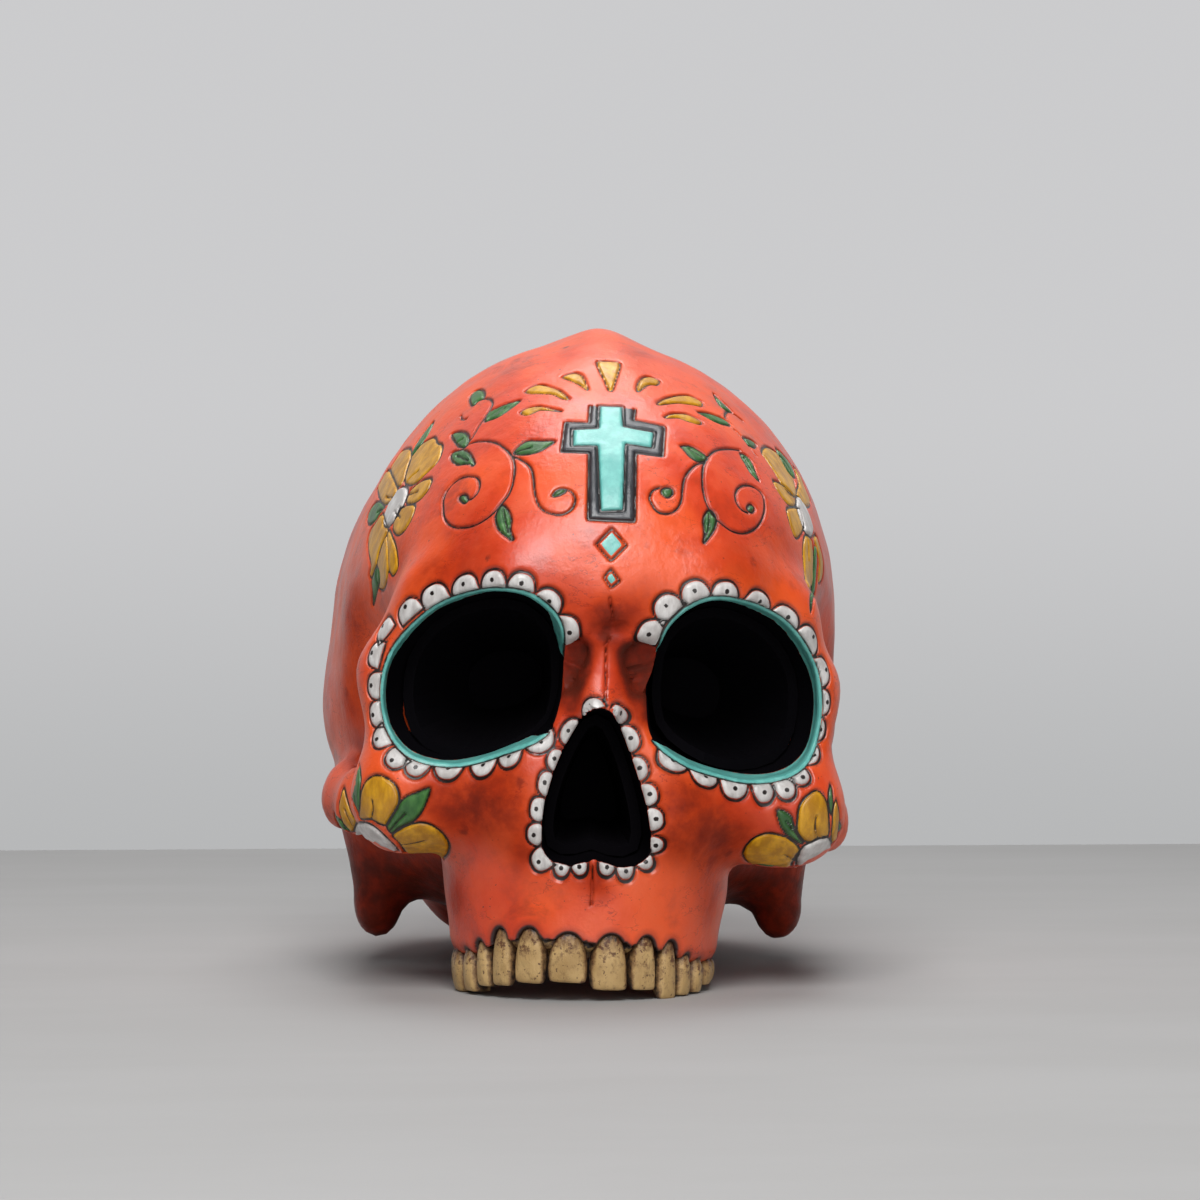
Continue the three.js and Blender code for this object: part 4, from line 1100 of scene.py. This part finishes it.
def refine(mesh, ornament):
    """Divides the mesh more finely near the ornament and the rims, and draws it onto the skull again."""
    for reach in DETAIL_REACHES:
        p = to_skull(vertex_places(mesh))
        wanted = detail_distance(p, ornament) < reach
        bm = bmesh.new()
        bm.from_mesh(mesh)
        edges = set()
        for face in bm.faces:
            if any(wanted[vert.index] for vert in face.verts):
                edges.update(face.edges)
        bmesh.ops.subdivide_edges(bm, edges=list(edges), cuts=1, use_grid_fill=True)
        bmesh.ops.triangulate(bm, faces=[face for face in bm.faces if len(face.verts) > 4])
        bm.to_mesh(mesh)
        bm.free()
        places, _ = drawn_onto(skull_distance, to_skull(vertex_places(mesh)), rounds=2)
        set_vertex_places(mesh, to_table(places))


# Pieces of bone, cut from the whole at the seams

def seam_block(outline, side, back):
    """A closed block behind an outline seen from the front."""
    bm = bmesh.new()
    corners = np.array([(x * SIDES[side] * HALF_WIDTH, SEAM_FRONT, z * SPANS[2]) for x, z in outline])
    face = bm.faces.new([bm.verts.new(place) for place in to_table(corners) * MM])
    made = bmesh.ops.extrude_face_region(bm, geom=[face])
    pulled = [item for item in made["geom"] if isinstance(item, bmesh.types.BMVert)]
    bmesh.ops.translate(bm, verts=pulled, vec=(0, (back - SEAM_FRONT) * MM, 0))
    bmesh.ops.recalc_face_normals(bm, faces=bm.faces[:])
    return mesh_object("seam_block", bm)


def combined(made, operation, *others):
    """The object joined with, cut by or kept inside others."""
    for other in others:
        modifier = made.modifiers.new("cut", "BOOLEAN")
        modifier.solver = "MANIFOLD"
        modifier.operation = operation
        modifier.object = other
        with_modifiers(made)
    return made


def copied(made, name):
    copy = bpy.data.objects.new(name, made.data.copy())
    bpy.context.scene.collection.objects.link(copy)
    return copy


def removed(made):
    mesh = made.data
    bpy.data.objects.remove(made)
    bpy.data.meshes.remove(mesh)


def bone_pieces(whole):
    """The seven pieces of bone, by the name of the node that each one replaces."""
    blocks = {}
    for side in SIDES:
        nasal = seam_block(NASAL_SEAM, side, NASAL_BACK)
        jaw = seam_block(JAW_LOW_SEAM, side, JAW_LOW_BACK)
        high = seam_block(JAW_HIGH_SEAM, side, JAW_HIGH_BACK)
        cheek = seam_block(CHEEK_SEAM, side, CHEEK_BACK)
        arch = seam_block(ARCH_SEAM, side, ARCH_BACK)
        combined(jaw, "UNION", high)
        combined(jaw, "DIFFERENCE", nasal)
        combined(cheek, "UNION", arch)
        combined(cheek, "DIFFERENCE", jaw)
        blocks.update({"nasal_bone_" + side: nasal, "upper_jaw_" + side: jaw, "cheekbone_" + side: cheek})
        removed(high)
        removed(arch)
    pieces = {"cranium": combined(copied(whole, "cranium_skin"), "DIFFERENCE", *blocks.values())}
    for name, block in blocks.items():
        pieces[name] = combined(copied(whole, name + "_skin"), "INTERSECT", block)
        removed(block)
    return pieces


# Teeth

def tooth_piece(tooth):
    """A tooth from its edge up to its root, drawn as rings."""
    bm = bmesh.new()
    side_layer = bm.verts.layers.float.new("side")
    up_layer = bm.verts.layers.float.new("up")
    bmesh.ops.create_circle(bm, cap_ends=True, segments=TOOTH_RING_POINTS, radius=1)
    ring = bm.verts[:]
    face = next(iter(bm.faces))
    turns = [math.atan2(vert.co.y, vert.co.x) for vert in ring]

    def ring_places(height, width, outer, inner):
        depth = outer + inner
        inset = (inner - outer) / 2
        for turn in turns:
            a = math.copysign(abs(math.cos(turn)) ** TOOTH_CORNER_POWER, math.cos(turn)) * width / 2
            b = math.copysign(abs(math.sin(turn)) ** TOOTH_CORNER_POWER, math.sin(turn)) * depth / 2 + inset
            spot = tooth["spot"] + a * tooth["along"] + b * tooth["inward"]
            yield Vector(to_table(np.array([[*spot, height]]))[0] * MM)

    full_width = tooth["width"] - TOOTH_GAP
    levels = []
    for up, width, outer, inner in TOOTH_RINGS:
        height = tooth["edge"] + up * (tooth["gum"] - tooth["edge"])
        if inner is None:
            inner = 2 * tooth["edge_share"] - 1
        levels.append((height, width * full_width, tooth["front"] + outer, inner * tooth["depth"] / 2))
    for level, sizes in enumerate(levels):
        if level:
            made = bmesh.ops.extrude_face_region(bm, geom=[face, *face.edges])
            face = next(item for item in made["geom"] if isinstance(item, bmesh.types.BMFace))
            below = ring
            ring = [next(other for other in linked(vert) if other in face.verts) for vert in below]
        for vert, turn, place in zip(ring, turns, ring_places(*sizes)):
            vert.co = place
            vert[side_layer] = abs(math.cos(turn))
            vert[up_layer] = level / (len(levels) - 1)
    bmesh.ops.recalc_face_normals(bm, faces=bm.faces[:])
    made = mesh_object(tooth["name"] + "_crown", bm)
    rounding = made.modifiers.new("rounding", "SUBSURF")
    rounding.levels = rounding.render_levels = 2
    made.data.shade_smooth()
    return made


def nose_lining_piece():
    """The nose's lining, shifted with the casting round it."""
    bm = bmesh.new()
    bm.from_mesh(nodes["nose_lining"].data)
    bmesh.ops.remove_doubles(bm, verts=bm.verts, dist=0.001 * MM)
    bmesh.ops.recalc_face_normals(bm, faces=bm.faces[:])
    made = mesh_object("nose_lining_skin", bm)
    upright = (vertex_places(made.data) - SHIFT) @ TURN.T
    set_vertex_places(made.data, to_table(upright))
    return made


# Materials

class Paint:
    """A node tree with short ways to add its nodes."""

    def __init__(self, name, roughness):
        self.material = bpy.data.materials.new(name)
        self.material.use_nodes = True
        self.tree = self.material.node_tree
        self.shader = self.tree.nodes["Principled BSDF"]
        self.shader.inputs["Roughness"].default_value = roughness
        self.coordinates = self.node("ShaderNodeTexCoord").outputs["Object"]

    def node(self, kind, **values):
        made = self.tree.nodes.new(kind)
        for name, value in values.items():
            setattr(made, name, value)
        return made

    def put(self, socket, value):
        if isinstance(value, bpy.types.NodeSocket):
            self.tree.links.new(value, socket)
        elif isinstance(value, tuple):
            socket.default_value = (*value, 1)
        else:
            socket.default_value = value

    def attribute(self, name):
        return self.node("ShaderNodeAttribute", attribute_name=name).outputs["Fac"]

    def noise(self, size, detail=3, roughness=0.5, stretch=None, distortion=0):
        """Noise with lumps of the given size in millimetres, between 0 and 1."""
        made = self.node("ShaderNodeTexNoise")
        made.inputs["Scale"].default_value = 1 / (size * MM)
        made.inputs["Detail"].default_value = detail
        made.inputs["Roughness"].default_value = roughness
        made.inputs["Distortion"].default_value = distortion
        where = self.coordinates
        if stretch:
            mapping = self.node("ShaderNodeMapping")
            mapping.inputs["Scale"].default_value = stretch
            self.tree.links.new(where, mapping.inputs["Vector"])
            where = mapping.outputs["Vector"]
        self.tree.links.new(where, made.inputs["Vector"])
        return made.outputs["Fac"]

    def cells(self, size):
        """Distance to the nearest of scattered points, in shares of their spacing in millimetres."""
        made = self.node("ShaderNodeTexVoronoi")
        made.inputs["Scale"].default_value = 1 / (size * MM)
        self.tree.links.new(self.coordinates, made.inputs["Vector"])
        return made.outputs["Distance"]

    def ramp(self, value, low, high, start=0.0, end=1.0):
        """The value from low to high drawn smoothly to start and end."""
        made = self.node("ShaderNodeMapRange", interpolation_type="SMOOTHSTEP")
        for name, amount in (("Value", value), ("From Min", low), ("From Max", high),
                             ("To Min", start), ("To Max", end)):
            self.put(made.inputs[name], amount)
        return made.outputs["Result"]

    def math(self, operation, *values):
        made = self.node("ShaderNodeMath", operation=operation)
        for socket, value in zip(made.inputs, values):
            self.put(socket, value)
        return made.outputs[0]

    def mix(self, factor, a, b):
        made = self.node("ShaderNodeMix", data_type="RGBA")
        for socket, value in ((made.inputs[0], factor), (made.inputs[6], a), (made.inputs[7], b)):
            self.put(socket, value)
        return made.outputs[2]

    def mix_value(self, factor, a, b):
        made = self.node("ShaderNodeMix", data_type="FLOAT")
        for socket, value in ((made.inputs[0], factor), (made.inputs[2], a), (made.inputs[3], b)):
            self.put(socket, value)
        return made.outputs[0]

    def bump(self, height, distance, strength=1.0):
        made = self.node("ShaderNodeBump")
        self.put(made.inputs["Height"], height)
        made.inputs["Distance"].default_value = distance * MM
        made.inputs["Strength"].default_value = strength
        self.tree.links.new(made.outputs["Normal"], self.shader.inputs["Normal"])


def bone_material():
    paint = Paint("bone_paint", 0.4)
    ragged = paint.math("MULTIPLY", paint.math("SUBTRACT", paint.noise(1.6, 4, 0.6), 0.5), 0.22)

    def within(name, soft=0.06, grow=0.0, rag=True):
        distance = paint.attribute(name)
        if rag:
            distance = paint.math("ADD", distance, ragged)
        return paint.ramp(distance, grow - soft, grow + soft, 1.0, 0.0)

    broad = paint.noise(34, 3, 0.5)
    patches = paint.noise(9, 4, 0.6)
    fine = paint.noise(1.1, 5, 0.65)
    colour = paint.mix(paint.ramp(broad, 0.38, 0.62), BONE_RED, BONE_ORANGE)
    colour = paint.mix(paint.ramp(patches, 0.42, 0.75, 0, 0.45), colour, BONE_PINK)
    colour = paint.mix(paint.ramp(patches, 0.5, 0.2, 0, 0.5), colour, BONE_DEEP)
    colour = paint.mix(paint.ramp(fine, 0.62, 0.8, 0, 0.35), colour, BONE_DEEP)
    winding = paint.math("ABSOLUTE", paint.math("SUBTRACT", paint.noise(11, 5, 0.6, (1, 1, 2.2)), 0.5))
    scratches = paint.math("MULTIPLY", paint.ramp(winding, 0.002, 0.009, 0.7, 0),
                           paint.ramp(paint.noise(14, 2), 0.5, 0.62))
    colour = paint.mix(scratches, colour, BONE_DEEP)
    blotches = paint.ramp(paint.noise(16, 6, 0.68, None, 0.6), 0.55, 0.72, 0, 0.6)
    colour = paint.mix(blotches, colour, BONE_DEEP)
    specks = paint.math("MULTIPLY", paint.ramp(paint.noise(0.9, 2, 0.5), 0.72, 0.78),
                        paint.ramp(paint.noise(12, 2), 0.4, 0.6))
    colour = paint.mix(specks, colour, WASH_AND_SHADE_BROWN)
    pits = paint.math("ADD", paint.cells(3.2), paint.math("MULTIPLY", paint.noise(2.2, 2), 0.24))
    pits = paint.ramp(pits, 0.13, 0.18, 0.85, 0)
    colour = paint.mix(pits, colour, WASH_AND_SHADE_BROWN)
    halo = paint.math("MULTIPLY", paint.ramp(paint.attribute("line"), 0.05, 0.8, 0.4, 0),
                      paint.ramp(paint.noise(3.5, 3), 0.3, 0.65, 0.35, 1))
    colour = paint.mix(halo, colour, WASH_AND_SHADE_BROWN)
    stain = paint.math("ADD", paint.attribute("stain"), paint.math("MULTIPLY", paint.noise(1.5, 4, 0.7), 2.4))
    colour = paint.mix(paint.ramp(stain, 0.6, 1.8, 0.75, 0), colour, WASH_AND_SHADE_BROWN)
    # Painted shade and dark wash in the recesses
    recess_wash_and_shade = paint.math("ADD", paint.attribute("recess_wash_and_shade"), paint.math("MULTIPLY", patches, 0.5))
    colour = paint.mix(paint.ramp(recess_wash_and_shade, 0.35, 1.0, 0, 0.9), colour, BONE_DEEP)
    colour = paint.mix(paint.ramp(recess_wash_and_shade, 0.75, 1.25, 0, 0.75), colour, WASH_AND_SHADE_BROWN)
    # Painted shade and dark wash from the soft patches and from low down behind the face
    shade = paint.math("MULTIPLY", paint.attribute("shade"),
                       paint.ramp(paint.noise(5, 5, 0.6), 0.25, 0.7, 0.8, 1.12))
    colour = paint.mix(paint.ramp(shade, 0.0, 0.9, 0, 0.95), colour, BONE_DEEP)
    colour = paint.mix(paint.ramp(shade, 0.5, 1.05, 0, 0.85), colour, WASH_AND_SHADE_BROWN)
    gum = paint.attribute("gum")
    colour = paint.mix(paint.ramp(gum, 0.5, 2.2, 0.5, 0), colour, BONE_DEEP)
    root = paint.mix(paint.ramp(paint.noise(1.8, 4, 0.7), 0.4, 0.62), TOOTH_DARK, TOOTH_BROWN)
    below = paint.math("ADD", paint.attribute("below_gum"), ragged)
    edge = paint.math("MAXIMUM", paint.ramp(gum, 0.15, 0.8, 0.97, 0), paint.ramp(below, -0.5, -0.1))
    colour = paint.mix(paint.math("MULTIPLY", edge, paint.ramp(gum, 0.8, 1.4, 1, 0)), colour, WASH_BLACK)
    rooted = paint.math("MULTIPLY", paint.ramp(below, 0.5, 1.0), paint.ramp(gum, 0.8, 1.4, 1, 0))
    colour = paint.mix(rooted, colour, root)
    streak = paint.noise(2.4, 4, 0.6, (1, 1, 0.35))
    for name, light, dark in (("charcoal", CHARCOAL_LIGHT, CHARCOAL), ("ochre", OCHRE, OCHRE_DARK),
                              ("green", GREEN, GREEN_DARK), ("turquoise", TURQUOISE, TURQUOISE_DARK),
                              ("white", WHITE, WHITE_SHADE)):
        coat = paint.mix(paint.ramp(streak, 0.35, 0.7), dark, light)
        colour = paint.mix(within(name), colour, coat)
    colour = paint.mix(within("line", 0.08), colour, WASH_BLACK)
    colour = paint.mix(within("dot", 0.08), colour, WASH_BLACK)
    hollow = within("hollow", 0.08)
    gloss = paint.ramp(paint.attribute("shade"), 0.05, 0.6, 0.72, 0.08)
    colour = paint.mix(hollow, colour, SOCKET_BLACK)
    paint.put(paint.shader.inputs["Base Color"], colour)
    rough = paint.ramp(patches, 0.3, 0.7, 0.3, 0.42)
    rough = paint.mix_value(hollow, rough, 0.9)
    paint.put(paint.shader.inputs["Roughness"], rough)
    paint.put(paint.shader.inputs["Specular IOR Level"], paint.mix_value(hollow, gloss, 0.0))
    height = paint.math("ADD", paint.math("MULTIPLY", paint.noise(4, 4, 0.55), 0.5),
                        paint.math("MULTIPLY", fine, 0.18))
    cut = paint.ramp(paint.attribute("line"), -0.1, 0.35, 0, 1)
    paint.bump(paint.math("ADD", height, paint.math("MULTIPLY", cut, 0.5)), 0.45)
    return paint.material


def tooth_material():
    paint = Paint("tooth_paint", 0.45)
    colour = paint.mix(paint.ramp(paint.noise(6, 3), 0.3, 0.7), TOOTH_DARK, TOOTH_LIGHT)
    colour = paint.mix(paint.ramp(paint.noise(1.8, 5, 0.7), 0.52, 0.75, 0, 0.6), colour, TOOTH_BROWN)
    ragged = paint.math("MULTIPLY", paint.math("SUBTRACT", paint.noise(1.4, 4, 0.65), 0.5), 0.5)
    side = paint.math("ADD", paint.attribute("side"), ragged)
    up = paint.math("ADD", paint.attribute("up"), ragged)
    colour = paint.mix(paint.ramp(up, 0.5, 0.78, 0, 0.75), colour, TOOTH_BROWN)
    colour = paint.mix(paint.ramp(side, 0.68, 0.9, 0, 0.7), colour, TOOTH_BROWN)
    colour = paint.mix(paint.ramp(side, 0.86, 1.02, 0, 0.95), colour, WASH_BLACK)
    colour = paint.mix(paint.ramp(up, 0.74, 0.86, 0, 0.95), colour, WASH_BLACK)
    colour = paint.mix(paint.ramp(paint.noise(1.0, 3), 0.63, 0.7, 0, 0.8), colour, WASH_AND_SHADE_BROWN)
    high = paint.math("MULTIPLY", paint.ramp(up, 0.3, 0.6), paint.ramp(paint.noise(1.5, 4, 0.7), 0.5, 0.62))
    colour = paint.mix(high, colour, TOOTH_BROWN)
    paint.put(paint.shader.inputs["Base Color"], colour)
    paint.bump(paint.noise(1.6, 4, 0.6, (1, 1, 0.4)), 0.5)
    return paint.material


def black_material():
    paint = Paint("socket_black", 0.9)
    colour = paint.mix(paint.noise(4, 2), SOCKET_BLACK, SOCKET_BLACK_WORN)
    paint.put(paint.shader.inputs["Base Color"], colour)
    paint.shader.inputs["Specular IOR Level"].default_value = 0.0
    return paint.material


# The scene

def dressed(piece, node, material):
    piece.data.materials.clear()
    piece.data.materials.append(material)
    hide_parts(node)
    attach(piece, "root")


def stage_sheet(name, middle, size, upright, material):
    """A flat sheet that the skull stands on or in front of."""
    bm = bmesh.new()
    bmesh.ops.create_grid(bm, x_segments=1, y_segments=1, size=0.5)
    bmesh.ops.scale(bm, verts=bm.verts, vec=(*size, 1))
    if upright:
        bmesh.ops.rotate(bm, verts=bm.verts, matrix=Matrix.Rotation(math.pi / 2, 3, "X"))
    bmesh.ops.translate(bm, verts=bm.verts, vec=middle)
    sheet = mesh_object(name, bm)
    sheet.data.materials.append(material)


def floor_material():
    paint = Paint("pale_floor", 0.7)
    smears = paint.noise(60, 5, 0.6, (0.35, 1, 1))
    colour = paint.mix(paint.ramp(smears, 0.3, 0.7), FLOOR_SHADE, FLOOR_PALE)
    colour = paint.mix(paint.ramp(paint.noise(5, 4, 0.7), 0.62, 0.8, 0, 0.25), colour, FLOOR_SHADE)
    paint.put(paint.shader.inputs["Base Color"], colour)
    return paint.material


def backdrop_material():
    """Glowing grey, its painted light paler higher up, that shows the camera its own colour and gives the
    skull little light.
    """
    paint = Paint("backdrop", 1)
    height = paint.node("ShaderNodeSeparateXYZ")
    paint.put(height.inputs[0], paint.coordinates)
    colour = paint.mix(paint.ramp(height.outputs["Z"], -0.12, 0.25), BACKDROP_LOW, BACKDROP_HIGH)
    seen = paint.node("ShaderNodeLightPath")
    direct = paint.math("MAXIMUM", seen.outputs["Is Camera Ray"], seen.outputs["Is Glossy Ray"])
    paint.put(paint.shader.inputs["Base Color"], (0, 0, 0))
    paint.put(paint.shader.inputs["Specular IOR Level"], 0.0)
    paint.put(paint.shader.inputs["Emission Color"], colour)
    paint.put(paint.shader.inputs["Emission Strength"], paint.mix_value(direct, BACKDROP_GLOW, 1.0))
    return paint.material


def studio_lamp(name, place, power, size):
    light = bpy.data.lights.new(name, "AREA")
    light.energy = power
    light.size = size
    lamp = bpy.data.objects.new(name, light)
    lamp.location = place
    lamp.rotation_euler = (Vector(LAMP_AIM) - Vector(place)).to_track_quat("-Z", "Y").to_euler()
    bpy.context.scene.collection.objects.link(lamp)


bone_paint = bone_material()
tooth_paint = tooth_material()
socket_black = black_material()

whole = whole_bone()
surface = BVHTree.FromObject(whole, bpy.context.evaluated_depsgraph_get())
ornament = Ornament(surface)
refine(whole.data, ornament)
pieces = bone_pieces(whole)
removed(whole)
for name, piece in pieces.items():
    ornamented(piece.data, ornament)
    piece.data.shade_smooth()
    piece.data.set_sharp_from_angle(angle=SHARP_ANGLE)
    dressed(piece, name, bone_paint)
for tooth in TOOTH_PLACES:
    dressed(tooth_piece(tooth), tooth["name"], tooth_paint)
for name in ("eye_lining_left", "eye_lining_right"):
    nodes[name].data.materials.clear()
    nodes[name].data.materials.append(socket_black)
dressed(nose_lining_piece(), "nose_lining", socket_black)

stage_sheet("floor", (0, (FLOOR_FAR + FLOOR_NEAR) / 2, 0), (FLOOR_WIDTH, FLOOR_FAR - FLOOR_NEAR),
            False, floor_material())
stage_sheet("backdrop", (0, BACKDROP_PLACE, BACKDROP_HEIGHT), BACKDROP_SIZE, True,
            backdrop_material())
for name, (place, power, size) in LAMPS.items():
    studio_lamp(name, place, power, size)

camera = bpy.data.objects.new("camera", bpy.data.cameras.new("camera"))
camera.data.lens = FOCAL_PIXELS * SENSOR / PHOTO_SIZE
camera.data.sensor_width = SENSOR
camera.data.clip_end = 20
camera.location = CAMERA_PLACE * MM
camera.rotation_euler = (math.radians(90), 0, CAMERA_YAW)
bpy.context.scene.collection.objects.link(camera)
bpy.context.scene.camera = camera

world = bpy.data.worlds.new("studio")
world.use_nodes = True
world.node_tree.nodes["Background"].inputs["Color"].default_value = (*WORLD_GREY, 1)
world.node_tree.nodes["Background"].inputs["Strength"].default_value = 1
bpy.context.scene.world = world
bpy.context.scene.view_settings.view_transform = "Standard"
